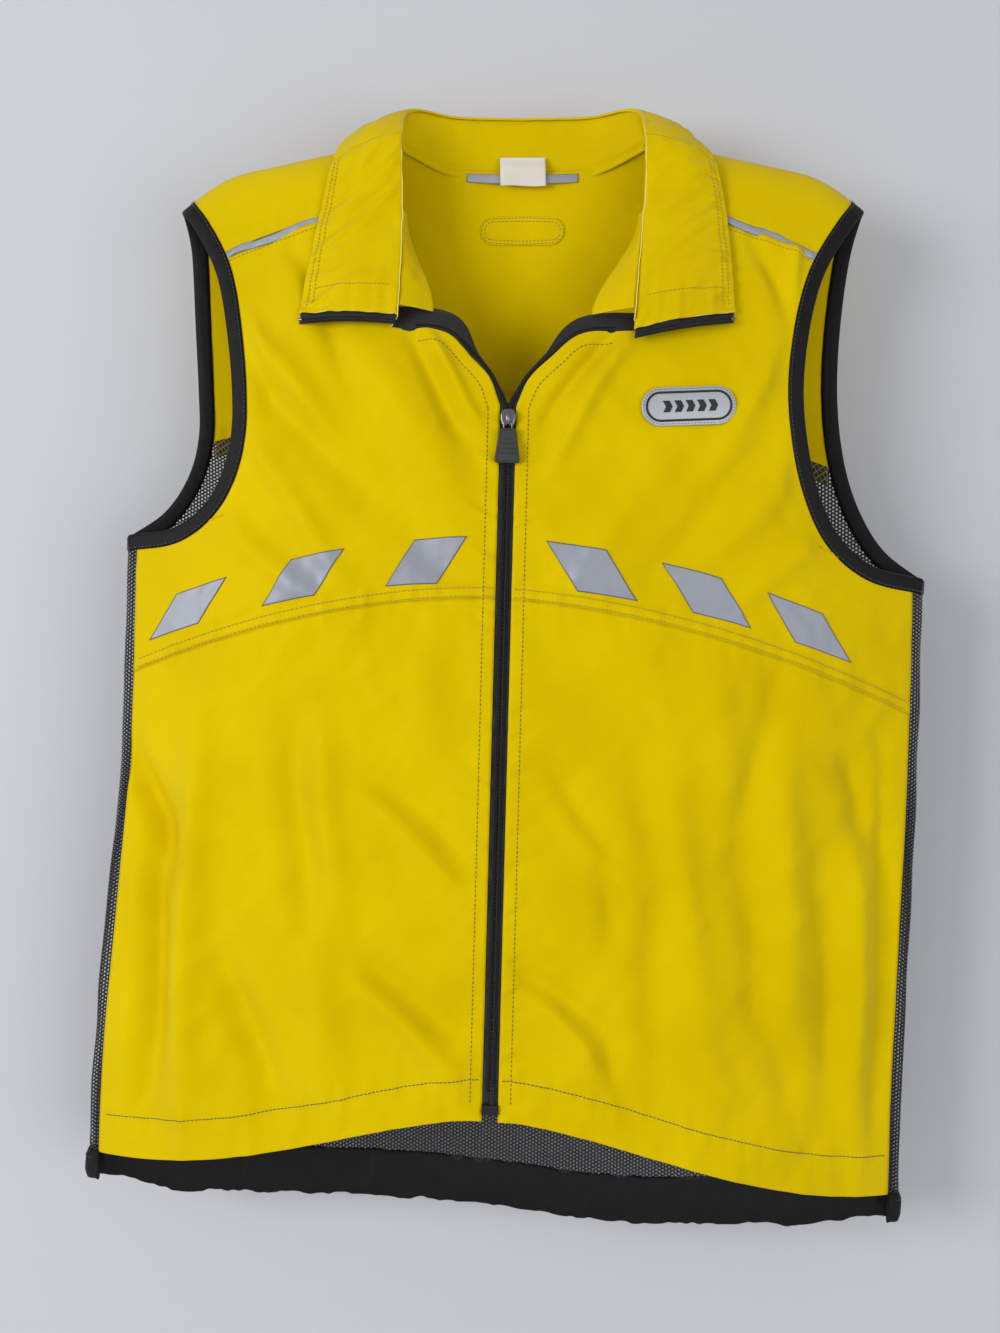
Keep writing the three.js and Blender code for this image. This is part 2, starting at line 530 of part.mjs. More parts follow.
// ---- collar: neckline, fold and outer edge from the middle of the back to the front corner ----
const outerLift = half + GAP + CLOTH + GAP + half + 0.3;
const fromBack = (points) => new THREE.CatmullRomCurve3(points, false, 'centripetal');
const collarCurves = (sign) => {
  const behind = (x, y, z) => new THREE.Vector3(sign * x, y, z);
  const low = NECK_HALF - 21 + WING_WIDTH + 18;
  return {
    neckline: fromBack([
      body(1, 0, 0), body(1, sign * 45, backNeck(45)), overShoulder(sign * NECK_HALF, 4),
      overShoulder(sign * NECK_HALF, -16), body(-1, sign * NECK_HALF, -34),
      body(-1, sign * (NECK_HALF - 1), -76), body(-1, sign * (NECK_HALF - 2), -NECK_DROP)]),
    fold: fromBack([
      behind(0, 3, COLLAR_STAND), behind(45, 2, COLLAR_STAND + 1),
      behind(NECK_HALF - 8, -15, COLLAR_STAND), behind(NECK_HALF - 3, -43, 10),
      body(-1, sign * (NECK_HALF - 4), -30, FOLD_STANDOFF),
      body(-1, sign * (NECK_HALF - 6), -70, FOLD_STANDOFF),
      body(-1, sign * (NECK_HALF - 7), -NECK_DROP + 5, FOLD_STANDOFF)]),
    outer: fromBack([
      behind(0, 14, COLLAR_STAND - COLLAR_FALL), behind(58, 13, COLLAR_STAND - COLLAR_FALL + 3),
      overShoulder(sign * 110, 4, outerLift + 4), cloth(-1, sign * 121, -9, outerLift + 3),
      cloth(-1, sign * (NECK_HALF + 48), -36, outerLift),
      cloth(-1, sign * (NECK_HALF + 53), -74, outerLift), cloth(-1, sign * low, -WING_TIP, outerLift)]),
  };
};
const collar = { 1: collarCurves(1), [-1]: collarCurves(-1) };
const wingStart = 0.5;

// Collar surface: t from the back to the front corner, b across, h outwards; t past 1 runs straight on.
function collarPoint(inner, outer, bulge, sign, t, b, h) {
  const mid = (tt, bb) => {
    const inside = Math.min(Math.abs(tt), 1);
    const p = inner.getPoint(inside).lerp(outer.getPoint(inside), bb);
    if (tt < 0) p.x = -p.x;
    if (tt <= 1) return p;
    const back = inner.getPoint(0.97).lerp(outer.getPoint(0.97), bb);
    return p.clone().addScaledVector(p.clone().sub(back).normalize(), (tt - 1) * 100);
  };
  const step = 0.01;
  const du = mid(Math.min(t, 1) + (t < 1 ? step / 2 : 0), b).sub(mid(Math.min(t, 1) - step, b));
  const dv = mid(t, b + step).sub(mid(t, b - step));
  const normal = du.cross(dv).normalize();
  return mid(t, b).addScaledVector(normal, sign * (h + bulge * Math.sin(Math.PI * b)));
}
const wingPoint = (sign, t, b, h) => collarPoint(collar[sign].fold, collar[sign].outer, 4, sign, t, b, h);
const standPoint = (sign, t, b, h) => collarPoint(collar[sign].neckline, collar[sign].fold, 0, sign, t, b, h);

addMesh('collar_stand', sheet((u, v, h) => standPoint(u < 0.5 ? -1 : 1,
  Math.abs(2 * u - 1), mix(0.15, 0.82, v), h), 36, 3, -half, half), 'nylon');
addMesh('collar_back_fall', sheet((u, v, h) => wingPoint(u < 0.5 ? -1 : 1,
  Math.abs(2 * u - 1) * (wingStart - 0.004), mix(0.03, 1, v), h), 24, 4, -half, half), 'nylon');
for (const [name, sign] of [['left', 1], ['right', -1]]) {
  const strip = (from, to, start, end, low, high, stations) => sheet((u, v, h) =>
    wingPoint(sign, mix(from, to, v), mix(start, end, u), h), stations, 1, low, high);
  addMesh(`collar_wing_${name}`, sheet((u, v, h) =>
    wingPoint(sign, mix(wingStart, 1, u), mix(0.03, 1, v), h), 12, 5, -half, half), 'nylon');
  addMesh(`collar_tape_${name}`, strip(0.955, 1.055, 0.04, 0.985, -half - GAP - CLOTH, -half - GAP, 6), 'coil');
  addMesh(`collar_coil_${name}`, strip(1.033, 1.055, 0.04, 0.93, -half, half + 0.4, 6), 'coil');
  addMesh(`zip_top_stop_${name}`, strip(1.03, 1.056, 0.945, 0.99, -half, half + 0.8, 1), 'metal');
}

// ---- zip hardware, in the zip's own frame: its line leans with the sway ----
const front = HANG_PLANE - FRONT_DEPTH;
const zipAngle = Math.atan(SWAY.slope);
function hardware(mesh, z) {
  const place = hang(0, front, z);
  mesh.position.copy(place);
  mesh.rotation.y = zipAngle;
}
const extruded = (points, depth) => {
  const outline = new THREE.Shape(points.map(([x, y]) => new THREE.Vector2(x, y)));
  return new THREE.ExtrudeGeometry(outline, { depth, bevelEnabled: false });
};
// Outline in (x, z), from y = near to y = far.
const plate = (points, near, far) => extruded(points, far - near)
  .rotateX(Math.PI / 2).translate(0, far, 0);

const sliderCentre = -SLIDER_DROP - 8;
const chainFront = -(-half + COIL_THICK);
const tapeBack = half + GAP + CLOTH;
const plateNear = chainFront - GAP - 1.4;
const sliderOutline = [[-3.2, -5], [3.2, -5], [4.6, -1], [4.6, 3], [2.6, 5], [-2.6, 5], [-4.6, 3], [-4.6, -1]];
const bridge = extruded([[-4, plateNear + 0.2], [-4, plateNear - 2], [-3, plateNear - 2.8], [3, plateNear - 2.8],
  [4, plateNear - 2], [4, plateNear + 0.2], [2.8, plateNear + 0.2], [2.8, plateNear - 1.6],
  [-2.8, plateNear - 1.6], [-2.8, plateNear + 0.2]], 2.2);
// turns the (z, y) outline upright, 2.2 wide about x = 0
bridge.applyMatrix4(new THREE.Matrix4().set(0, 0, 1, -1.1, 0, 1, 0, 0, 1, 0, 0, 0, 0, 0, 0, 1));
const sliderParts = [
  plate(sliderOutline, plateNear, chainFront - GAP),
  plate(sliderOutline.map(([x, z]) => [x * 0.9, z]), tapeBack + GAP, tapeBack + GAP + 1.2),
  plate([[-0.5, 1], [0.5, 1], [0.5, 4.2], [-0.5, 4.2]], plateNear + 0.1, tapeBack + GAP + 1),
];
let slider = sliderParts.map(solid).reduce((a, b) => a.add(b));
const bridgePoints = [...bridge.attributes.position.array];
slider = slider.add(solid(outward(bridgePoints, [...Array(bridgePoints.length / 3).keys()])));
hardware(addMesh('zip_slider_body', unsolid(slider), 'metal'), sliderCentre);

const pivot = { y: plateNear - 0.8, z: -2.1 };
const wireHalf = 0.42;
hardware(addMesh('zip_pull_wire', plate([
  [-2.9, pivot.z + wireHalf], [-2.9, -6.2], [-2, -6.2], [-2, pivot.z - wireHalf],
  [2, pivot.z - wireHalf], [2, -6.2], [2.9, -6.2], [2.9, pivot.z + wireHalf]].reverse(),
pivot.y - wireHalf, pivot.y + wireHalf), 'metal'), sliderCentre);
hardware(addMesh('zip_pull_tab', plate([
  [-7.2, -28], [7.2, -28], [8, -26.5], [5.2, -7.2], [4.2, -6.5], [-4.2, -6.5], [-5.2, -7.2], [-8, -26.5]],
pivot.y - 1.1, pivot.y + 1.1), 'rubber'), sliderCentre);
hardware(addMesh('zip_retainer_box', plate([[-4.7, -6.3], [4.7, -6.3], [4.7, -GAP], [-4.7, -GAP]],
  chainFront - 0.5, tapeBack + 0.4), 'coil'), zipBottom);
const pinLeft = 0.02 / straightShare * (FRONT_LENGTH - 10 - SLIDER_DROP) - GAP;
hardware(addMesh('zip_insertion_pin', plate([[COIL_INNER, 0], [COIL_INNER + 1.8, 0],
  [COIL_INNER + 1.8, pinLeft], [COIL_INNER, pinLeft]], chainFront, half), 'coil'), zipBottom);

// ---- small sewn pieces ----
const backInner = (x, z, h) => body(1, x, z, -h);
addMesh('hang_loop', sweep((t, k) => {
  const [w, d] = corner(k, -LOOP.width / 2, LOOP.width / 2, 0, CLOTH);
  const across = mix(-LOOP.span / 2, LOOP.span / 2, t);
  const bow = Math.sin(Math.PI * t);
  const p = backInner(across, -3.5, half + GAP);
  return new THREE.Vector3(p.x, p.y - LOOP.bulge * 0.42 * bow - d, -1.5 - LOOP.width / 2 - 2 * bow + w);
}, 12, 4), 'film');
const labelRows = [[-1.1, 9], [-5.4, 1], [-6.2, 9 - LABEL.height]];
addMesh('care_label', sheet((u, v, h) => {
  const [y, z] = labelRows[Math.round(v * 2)];
  return new THREE.Vector3(mix(-LABEL.width / 2, LABEL.width / 2, u), y - h, z);
}, 3, 2, 0, 0.5), 'label');
addMesh('neck_patch', sheet((u, v, h) => {
  const x = mix(-PATCH.width / 2, PATCH.width / 2, u);
  const round = Math.max(0, Math.abs(x) - (PATCH.width - PATCH.height) / 2);
  const rise = Math.max(2, Math.sqrt(Math.max(0, (PATCH.height / 2) ** 2 - round ** 2)));
  return backInner(x, -39.5 + mix(-rise, rise, v), h);
}, 12, 2, half + GAP, half + GAP + 0.5), 'nylon');

const badgeAt = [110, -163];
const badge = new THREE.Shape();
const straight = (BADGE.width - BADGE.height) / 2;
badge.absarc(straight, 0, BADGE.height / 2, -Math.PI / 2, Math.PI / 2);
badge.absarc(-straight, 0, BADGE.height / 2, Math.PI / 2, Math.PI * 1.5);
const badgeMesh = addMesh('chest_badge',
  new THREE.ExtrudeGeometry(badge, { depth: BADGE.thick, bevelEnabled: false, curveSegments: 8 }), 'film');
const foot = body(-1, ...badgeAt, half + GAP);
const ahead = body(-1, ...badgeAt, half + GAP + 10);
badgeMesh.position.copy(foot);
badgeMesh.up.set(0.05, 0, 1);
badgeMesh.lookAt(ahead);

export default vest;
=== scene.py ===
"""High visibility vest, hanging by its neck: cloth, zip and trim worked out as numpy surfaces round the
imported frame. Shapes are worked out in millimetres and put into Blender in metres. The front faces -Y, the
wearer's left is +X, and the origin is the middle of the back neck seam."""
import json
import math

import bmesh
import bpy
import numpy as np
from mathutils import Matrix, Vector


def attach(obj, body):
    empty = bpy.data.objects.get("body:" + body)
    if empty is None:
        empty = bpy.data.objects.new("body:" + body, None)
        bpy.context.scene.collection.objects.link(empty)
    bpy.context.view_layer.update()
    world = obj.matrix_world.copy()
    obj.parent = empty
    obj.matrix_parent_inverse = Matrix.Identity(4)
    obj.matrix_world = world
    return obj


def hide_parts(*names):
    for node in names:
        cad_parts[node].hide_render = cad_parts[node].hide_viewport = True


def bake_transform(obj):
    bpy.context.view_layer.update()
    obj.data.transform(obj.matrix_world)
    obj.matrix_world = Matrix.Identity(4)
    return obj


bl_info = {
    "name": "High visibility vest",
    "version": (1, 0, 0),
    "blender": (4, 5, 0),
    "location": "View3D > Sidebar > Vest",
    "description": "Builds a hanging high visibility vest, piece by piece, on its packed frame",
    "category": "Add Mesh",
}

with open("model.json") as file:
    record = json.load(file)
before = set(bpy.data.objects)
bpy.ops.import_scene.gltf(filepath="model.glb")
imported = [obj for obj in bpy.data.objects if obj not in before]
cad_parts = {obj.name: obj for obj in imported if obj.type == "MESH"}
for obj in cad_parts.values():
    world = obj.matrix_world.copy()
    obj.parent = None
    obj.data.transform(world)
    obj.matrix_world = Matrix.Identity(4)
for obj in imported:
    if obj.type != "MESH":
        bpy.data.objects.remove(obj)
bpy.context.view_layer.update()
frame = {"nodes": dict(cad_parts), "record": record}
MM = 0.001
SIDES = (("left", 1), ("right", -1))

# ---- driving sizes of the pattern, in millimetres ----
HALF_CHEST = 264.0
EDGE_RADIUS = 6.0
FLANK = HALF_CHEST - EDGE_RADIUS
TURN = math.pi * EDGE_RADIUS
HANG_PLANE = -20.0
LEAN = 0.0263
FRONT_DEPTH, FRONT_DEPTH_TOP = 45.0, 18.0
BACK_DEPTH, BACK_DEPTH_TOP = 28.0, 20.0
LENS_POWER = 2.6
SHOULDER_CAP = 28.0
CAP_ARC = 34.0
NECK_HALF = 80.0
NECK_POINT = 13.0
SHOULDER_HALF = 221.0
SHOULDER_SLOPE = 0.215
SHOULDER_DROOP_START, SHOULDER_END_DROP = 178.0, 17.0
ARMHOLE_DEPTH = 258.0
FRONT_ARMHOLE_HALF = 183.0
BACK_ARMHOLE_HALF = 213.0
NECK_DROP = 118.0
SLIDER_DROP = 167.0
ARC_SEAM_DROP, ARC_SEAM_RISE = 287.0, 62.0
BACK_SEAM_DROP, BACK_SEAM_RISE = 154.0, 38.0
FRONT_LENGTH, SIDE_LENGTH = 610.0, 655.0
BACK_BAND_TOP, BACK_BAND_HEIGHT = 656.0, 30.0
BAND_SAG, BAND_SAG_MIDDLE, BAND_SAG_WIDTH = 9.0, 85.0, 80.0
SIDE_SEAM = HALF_CHEST - 8.0
BINDING_WIDTH = 10.0
PIPING_WIDTH = 5.0
HEM_DEPTH = 25.0
ZIP_HALF = 5.0
ZIP_BOTTOM = -FRONT_LENGTH + 10.0
COLLAR_STAND, COLLAR_FALL = 36.0, 42.0
WING_WIDTH, WING_TIP = 60.0, 110.0
FOLD_STANDOFF = 9.0
CLOTH_THICK = 0.5


# ---- the hanging body as functions of the pattern ----
def smooth(start, end, value):
    """0 before start, 1 after end, an even S between them."""
    t = np.clip((value - start) / (end - start), 0, 1)
    return t * t * (3 - 2 * t)


def mix(a, b, t):
    """Straight line from a to b."""
    return a + (b - a) * t


def unit(v):
    """Vectors scaled to length 1."""
    return v / np.maximum(np.linalg.norm(v, axis=-1, keepdims=True), 1e-9)


def hang(x, y, z):
    """The sway: the lower body drifts 10 mm and then 2.6 mm in 100, and tilts 5.4 in 100, to the right."""
    turned = smooth(-60, -230, z) * (1 - 0.75 * smooth(-350, -640, z))
    turn = np.where(x < 0, -0.075, 0.03) * turned * smooth(0, 90, np.abs(x))
    drift = -10 * smooth(-30, -175, z) - LEAN * np.maximum(0, -z - 175)
    return np.stack([x * (1 + turn) + drift, y + 0 * x, z - x * 0.054 * smooth(-40, -260, z)], axis=-1)


def shoulder_top(x):
    """Height of the shoulder: a straight slope, with a parabola drooping over its outer end."""
    out = np.abs(x)
    end = np.maximum(0, (out - SHOULDER_DROOP_START) / (SHOULDER_HALF - SHOULDER_DROOP_START))
    return NECK_POINT - SHOULDER_SLOPE * (out - NECK_HALF) - SHOULDER_END_DROP * end ** 2


def body_mid(side, x, z):
    """Middle of the cloth: depth falls off as 1 - (x / half width) ** 2.6, a quarter circle rounds the
    flank, and a quarter ellipse rounds the shoulder. side is -1 in front and 1 behind."""
    full = np.where(side < 0, mix(FRONT_DEPTH_TOP, FRONT_DEPTH, smooth(0, -160, z)),
                    mix(BACK_DEPTH_TOP, BACK_DEPTH, smooth(0, -220, z)))
    out = np.abs(x)
    lens = EDGE_RADIUS + (full - EDGE_RADIUS) * (1 - np.minimum(1, out / FLANK) ** LENS_POWER)
    quarter = np.sqrt(np.maximum(0, EDGE_RADIUS ** 2 - np.maximum(0, out - FLANK) ** 2))
    depth = np.where(out > FLANK, quarter, lens)
    u = np.clip((shoulder_top(x) - z) / SHOULDER_CAP, 0, 1)
    return hang(x, HANG_PLANE + side * depth * np.sqrt(1 - (1 - u) ** 2), z)


def lifted(mid, a, b, h, facing):
    """mid(a, b) moved by h along its normal, which is the cross product of small steps in a and b."""
    step = 0.4
    normal = np.cross(mid(a + step, b) - mid(a - step, b), mid(a, b + step) - mid(a, b - step))
    return mid(a, b) + unit(normal) * (facing * h)[..., None]


def shoulder_fall(s):
    """Drop from the shoulder's top after a way s round it: a quarter circle, then straight down."""
    turn = np.clip(np.abs(s) / CAP_ARC, 0, 1) * math.pi / 2
    return SHOULDER_CAP * (1 - np.cos(turn)) + np.maximum(0, np.abs(s) - CAP_ARC)


def over_mid(x, s):
    """Over a shoulder: s is the way round from its top, negative in front."""
    return body_mid(np.where(s < 0, -1, 1), x, shoulder_top(x) - shoulder_fall(s))


def over(x, s, h):
    """Point at height h over a shoulder, or on the front or back below it."""
    x, s, h = np.broadcast_arrays(*(np.asarray(v, float) for v in (x, s, h)))
    return lifted(over_mid, x, s, h, np.ones(x.shape))


def shoulder_way(x, z):
    """The way from the shoulder's top down to height z."""
    drop = shoulder_top(x) - z
    turn = CAP_ARC * np.arccos(1 - np.clip(drop / SHOULDER_CAP, 0, 1)) / (math.pi / 2)
    return np.where(drop >= SHOULDER_CAP, CAP_ARC + drop - SHOULDER_CAP, turn)


def side_mid(sign, r, z):
    """Round the body at level z: r runs out from the middle of the back, and past the flank's half turn
    comes back along the front."""
    angle = np.clip((r - FLANK) / EDGE_RADIUS, 0, math.pi)
    turning = hang(sign * (FLANK + EDGE_RADIUS * np.sin(angle)), HANG_PLANE + EDGE_RADIUS * np.cos(angle), z)
    flat_r = np.where(r <= FLANK, r, 2 * FLANK + TURN - r)
    flat = body_mid(np.where(r <= FLANK, 1, -1), sign * np.minimum(flat_r, FLANK), z)
    return np.where(((r > FLANK) & (r < FLANK + TURN))[..., None], turning, flat)


def around(sign, r, z, h):
    """Point at height h round the side of the body."""
    sign, r, z, h = np.broadcast_arrays(*(np.asarray(v, float) for v in (sign, r, z, h)))
    return lifted(lambda a, b: side_mid(sign, a, b), r, z, h, -sign)


def cloth(side, x, z, h=0.0):
    """Point at height h outside the front (side -1) or the back (side 1), wherever (x, z) lies on it."""
    x, z, h = np.broadcast_arrays(*(np.asarray(v, float) for v in (x, z, h)))
    top = shoulder_top(x)
    capped = over(x, side * shoulder_way(x, np.minimum(z, top)), h)
    out = np.minimum(np.abs(x), HALF_CHEST)
    turn = EDGE_RADIUS * np.arcsin(np.clip((out - FLANK) / EDGE_RADIUS, 0, 1))
    r = np.where(out <= FLANK, out, FLANK + turn)
    r = r if side > 0 else 2 * FLANK + TURN - r
    flat = around(np.where(x < 0, -1.0, 1.0), r, z, h)
    return np.where(((top - z < SHOULDER_CAP) & (np.abs(x) >= NECK_HALF - 0.01))[..., None], capped, flat)


# ---- seams and edges on the pattern ----
def arc_seam(x):
    """Front seam: lowest at the sides by 62 mm, as the 1.8th power of the way out."""
    return -ARC_SEAM_DROP - ARC_SEAM_RISE * (np.abs(x) / HALF_CHEST) ** 1.8


def back_seam(x):
    """Back seam: a parabola, 38 mm lower at the armholes."""
    return -BACK_SEAM_DROP - BACK_SEAM_RISE * (np.abs(x) / BACK_ARMHOLE_HALF) ** 2


def front_hem(x):
    """Front hem: highest at the zip, a quarter sine to the power 1.5 down to the side."""
    u = np.clip((np.abs(x) - 10) / 240, 0, 1)
    return -FRONT_LENGTH - (SIDE_LENGTH - FRONT_LENGTH) * np.sin(u * math.pi / 2) ** 1.5


def band_top(x):
    """Seam between the mesh and its hem band, which droops to the wearer's left."""
    return -BACK_BAND_TOP - BAND_SAG * np.exp(-((x - BAND_SAG_MIDDLE) / BAND_SAG_WIDTH) ** 2)


def piping_seam(x):
    """Forward shoulder seam that holds the grey piping."""
    return -34 - 36 * (np.maximum(0, np.abs(x) - NECK_HALF) / 120) ** 1.6


def back_neck(x):
    """Back neck edge: level, then rising to the shoulder as the fourth power."""
    return NECK_POINT * (np.abs(x) / NECK_HALF) ** 4


def spline(points, t):
    """Centripetal Catmull-Rom curve through points: even in t by point, each span a cubic whose knots are
    spaced by the square root of the distance between points."""
    p = np.asarray(points, float)
    p = np.vstack([2 * p[0] - p[1], p, 2 * p[-1] - p[-2]])
    place = np.clip(t, 0, 1) * (len(p) - 3)
    n = np.minimum(place.astype(int), len(p) - 4)
    w = (place - n)[..., None]
    p0, p1, p2, p3 = (p[n + k] for k in range(4))
    gap = [np.maximum(np.linalg.norm(b - a, axis=-1, keepdims=True), 1e-6) ** 0.5
           for a, b in ((p0, p1), (p1, p2), (p2, p3))]
    m1 = ((p1 - p0) / gap[0] - (p2 - p0) / (gap[0] + gap[1]) + (p2 - p1) / gap[1]) * gap[1]
    m2 = ((p2 - p1) / gap[1] - (p3 - p1) / (gap[1] + gap[2]) + (p3 - p2) / gap[2]) * gap[1]
    return (p1 + m1 * w + (3 * (p2 - p1) - 2 * m1 - m2) * w ** 2 + (2 * (p1 - p2) + m1 + m2) * w ** 3)


TIP_Z = float(shoulder_top(np.float64(SHOULDER_HALF)))
FRONT_ARMHOLE = [
    (SHOULDER_HALF, TIP_Z), (SHOULDER_HALF - 12, -50), (FRONT_ARMHOLE_HALF + 10, -80),
    (FRONT_ARMHOLE_HALF + 1, -125), (FRONT_ARMHOLE_HALF, -165), (FRONT_ARMHOLE_HALF + 7, -205),
    (FRONT_ARMHOLE_HALF + 22, -235), (FRONT_ARMHOLE_HALF + 45, -252), (HALF_CHEST, -ARMHOLE_DEPTH)]
BACK_ARMHOLE = [
    (SHOULDER_HALF, TIP_Z), (SHOULDER_HALF - 5, -60), (BACK_ARMHOLE_HALF, -100), (BACK_ARMHOLE_HALF, -150),
    (BACK_ARMHOLE_HALF + 4, -188), (BACK_ARMHOLE_HALF + 13, -216), (BACK_ARMHOLE_HALF + 28, -240),
    (HALF_CHEST, -ARMHOLE_DEPTH)]
VEE_EDGE = [
    (ZIP_HALF, -SLIDER_DROP), (ZIP_HALF + 7, -SLIDER_DROP + 17), (ZIP_HALF + 20, -SLIDER_DROP + 31),
    (NECK_HALF - 38, -NECK_DROP - 3), (NECK_HALF - 2, -NECK_DROP)]


def inset_curve(points, t, inset):
    """(x, z) on a curve, moved into the cloth by inset square to it."""
    t = np.asarray(t, float)
    p = spline(points, t)
    d = unit(spline(points, np.minimum(t + 0.002, 1)) - spline(points, np.maximum(t - 0.002, 0)))
    return p + np.stack([d[..., 1], -d[..., 0]], -1) * np.asarray(inset)[..., None]


def crossing(points, inset, seam):
    """t where the moved curve first drops below a seam."""
    t = np.linspace(0.05, 0.95, 2000)
    p = inset_curve(points, t, np.full(t.shape, float(inset)))
    return float(t[np.argmax(p[:, 1] < seam(p[:, 0]))])


def lengths(points):
    """Length of a polyline up to each of its points."""
    return np.concatenate([[0], np.cumsum(np.linalg.norm(np.diff(points, axis=0), axis=1))])


def along(points, t):
    """Point at share t of the length of a polyline."""
    p = np.asarray(points, float)
    way = lengths(p)
    return np.stack([np.interp(np.asarray(t) * way[-1], way, p[:, k]) for k in range(p.shape[1])], -1)


def patch(bottom, top, left, right, u, v):
    """Coons patch: the two ruled surfaces between facing edges, less the one through the corners."""
    u2, v2 = u[..., None], v[..., None]
    corner = [edge(np.float64(t)) for edge in (bottom, top) for t in (0, 1)]
    ruled = (1 - v2) * bottom(u) + v2 * top(u) + (1 - u2) * left(v) + u2 * right(v)
    return ruled - ((1 - u2) * (1 - v2) * corner[0] + u2 * (1 - v2) * corner[1]
                    + (1 - u2) * v2 * corner[2] + u2 * v2 * corner[3])


def grid(columns, rows):
    """u and v from 0 to 1 on a grid of columns by rows cells."""
    u, v = np.meshgrid(np.linspace(0, 1, columns + 1), np.linspace(0, 1, rows + 1), indexing="ij")
    return u, v


# ---- relief of the cloth, in millimetres on the hanging vest ----
# Each fold is a soft ridge: where it starts and ends as (x, z), its half width and its height.
FRONT_FOLDS = (
    (-190, -90, -120, -190, 9, 2.6), (-178, -130, -95, -235, 12, -2.2), (-182, -178, -110, -275, 8, 2.0),
    (-150, -60, -105, -150, 7, -1.8), (-185, -235, -120, -300, 9, 1.8), (-74, -122, -34, -190, 6, -2.6),
    (-62, -119, -26, -178, 4, 2.0), (-95, -130, -40, -240, 14, 2.2), (-85, -200, -30, -300, 12, -1.6),
    (172, -48, 180, -120, 5, 2.6), (150, -60, 176, -130, 6, -2.2), (168, -130, 105, -215, 9, 2.2),
    (176, -190, 110, -270, 10, 2.0), (190, -240, 130, -300, 9, 1.6), (52, -120, 14, -178, 5, -2.6),
    (66, -125, 18, -200, 6, 2.4), (90, -190, 30, -290, 13, 1.8), (120, -215, 60, -300, 12, -1.5),
    (-253, -375, -228, -450, 9, -4.6), (-228, -440, -244, -600, 10, -5.0), (-212, -370, -212, -600, 12, 3.6),
    (-190, -500, -160, -610, 11, -3.6), (-140, -370, -142, -500, 11, -3.0), (-122, -372, -120, -480, 10, 1.8),
    (-150, -480, -110, -600, 14, 2.2), (-95, -395, -35, -452, 9, -2.4), (-100, -410, -35, -470, 8, 2.0),
    (-105, -512, -35, -556, 10, -3.2), (-100, -530, -40, -580, 9, 2.8), (-60, -300, -50, -400, 13, 1.6),
    (14, -392, 56, -446, 9, -2.6), (55, -440, 50, -500, 9, -2.2), (30, -420, 66, -480, 8, 2.0),
    (-2, -512, 48, -560, 8, -2.6), (46, -552, 70, -610, 9, -2.2), (6, -530, 50, -585, 7, 2.2),
    (74, -395, 86, -490, 11, -2.2), (86, -486, 76, -600, 11, -2.0), (98, -400, 112, -590, 12, 2.2),
    (158, -318, 143, -430, 11, -2.2), (143, -425, 143, -540, 12, -2.6), (144, -530, 170, -610, 11, -2.2),
    (124, -330, 120, -430, 12, 1.6), (168, -380, 162, -560, 12, 2.4), (202, -385, 222, -440, 9, -3.0),
    (188, -448, 194, -600, 10, -2.4), (208, -440, 216, -620, 9, 2.8), (232, -400, 230, -600, 7, -2.6))
BACK_FOLDS = (
    (-150, -60, -60, -140, 14, 1.4), (150, -60, 60, -140, 14, 1.4), (-90, -200, -110, -600, 22, 2.0),
    (-30, -190, -40, -610, 20, -1.8), (40, -200, 45, -600, 22, 1.8), (110, -200, 120, -610, 20, -1.8),
    (-170, -220, -180, -610, 16, 2.0), (175, -230, 180, -600, 18, 1.8), (-215, -260, -225, -620, 12, -1.6),
    (0, -60, 10, -150, 18, 1.0))


def ridges(folds, x, z):
    """Sum of soft ridges: a Gaussian across each fold's line, fading in and out along it."""
    total = np.zeros(np.shape(x))
    for x0, z0, x1, z1, width, height in folds:
        run, drop = x1 - x0, z1 - z0
        length = math.hypot(run, drop)
        way = ((x - x0) * run + (z - z0) * drop) / length ** 2
        off = ((x - x0) * drop - (z - z0) * run) / length + 5 * np.sin(way * 4 + x0) * (width / 12)
        total += height * np.exp(-(off / width) ** 2) * smooth(-0.25, 0.3, way) * smooth(1.3, 0.65, way)
    return total


LATTICE = np.random.default_rng(7).uniform(-1, 1, (128, 128))


def noise(a, b):
    """Value noise from -1 to 1: seeded numbers on a unit lattice, joined by smooth S curves."""
    i, j = np.floor(a).astype(int), np.floor(b).astype(int)
    fa, fb = a - i, b - j
    fa, fb = fa * fa * (3 - 2 * fa), fb * fb * (3 - 2 * fb)
    low = mix(LATTICE[i % 128, j % 128], LATTICE[(i + 1) % 128, j % 128], fa)
    high = mix(LATTICE[i % 128, (j + 1) % 128], LATTICE[(i + 1) % 128, (j + 1) % 128], fa)
    return mix(low, high, fb)


def crumple(x, z):
    """Fine creases of thin nylon: folded-over noise at three sizes, stretched along two diagonals."""
    a, b = x * 0.8 + z * 0.6, z * 0.8 - x * 0.6
    c, d = x * 0.75 - z * 0.66, z * 0.75 + x * 0.66
    return (0.5 * noise(a / 34, b / 75) + 0.35 * (0.5 - np.abs(noise(c / 22, d / 60)))
            + 0.14 * noise(a / 9, b / 24) + 0.07 * noise(c / 5, d / 11))


def pucker(way, off, reach, height, pitch=5.5):
    """Gathers beside a line of stitches: noise along the line, dying away over reach either side."""
    return height * noise(way / pitch, 3.1 + off / (reach * 3)) * np.exp(-np.abs(off) / reach)


def armhole_calm(curve, x, z):
    """0 at the armhole's binding, rising to 1 about 16 mm further in: the tape holds the cloth flat there."""
    edge = spline(curve, np.linspace(0, 1, 90))
    gap = np.hypot(np.abs(x)[..., None] - edge[:, 0], np.asarray(z)[..., None] - edge[:, 1]).min(-1)
    return smooth(BINDING_WIDTH - 1, BINDING_WIDTH + 15, gap)


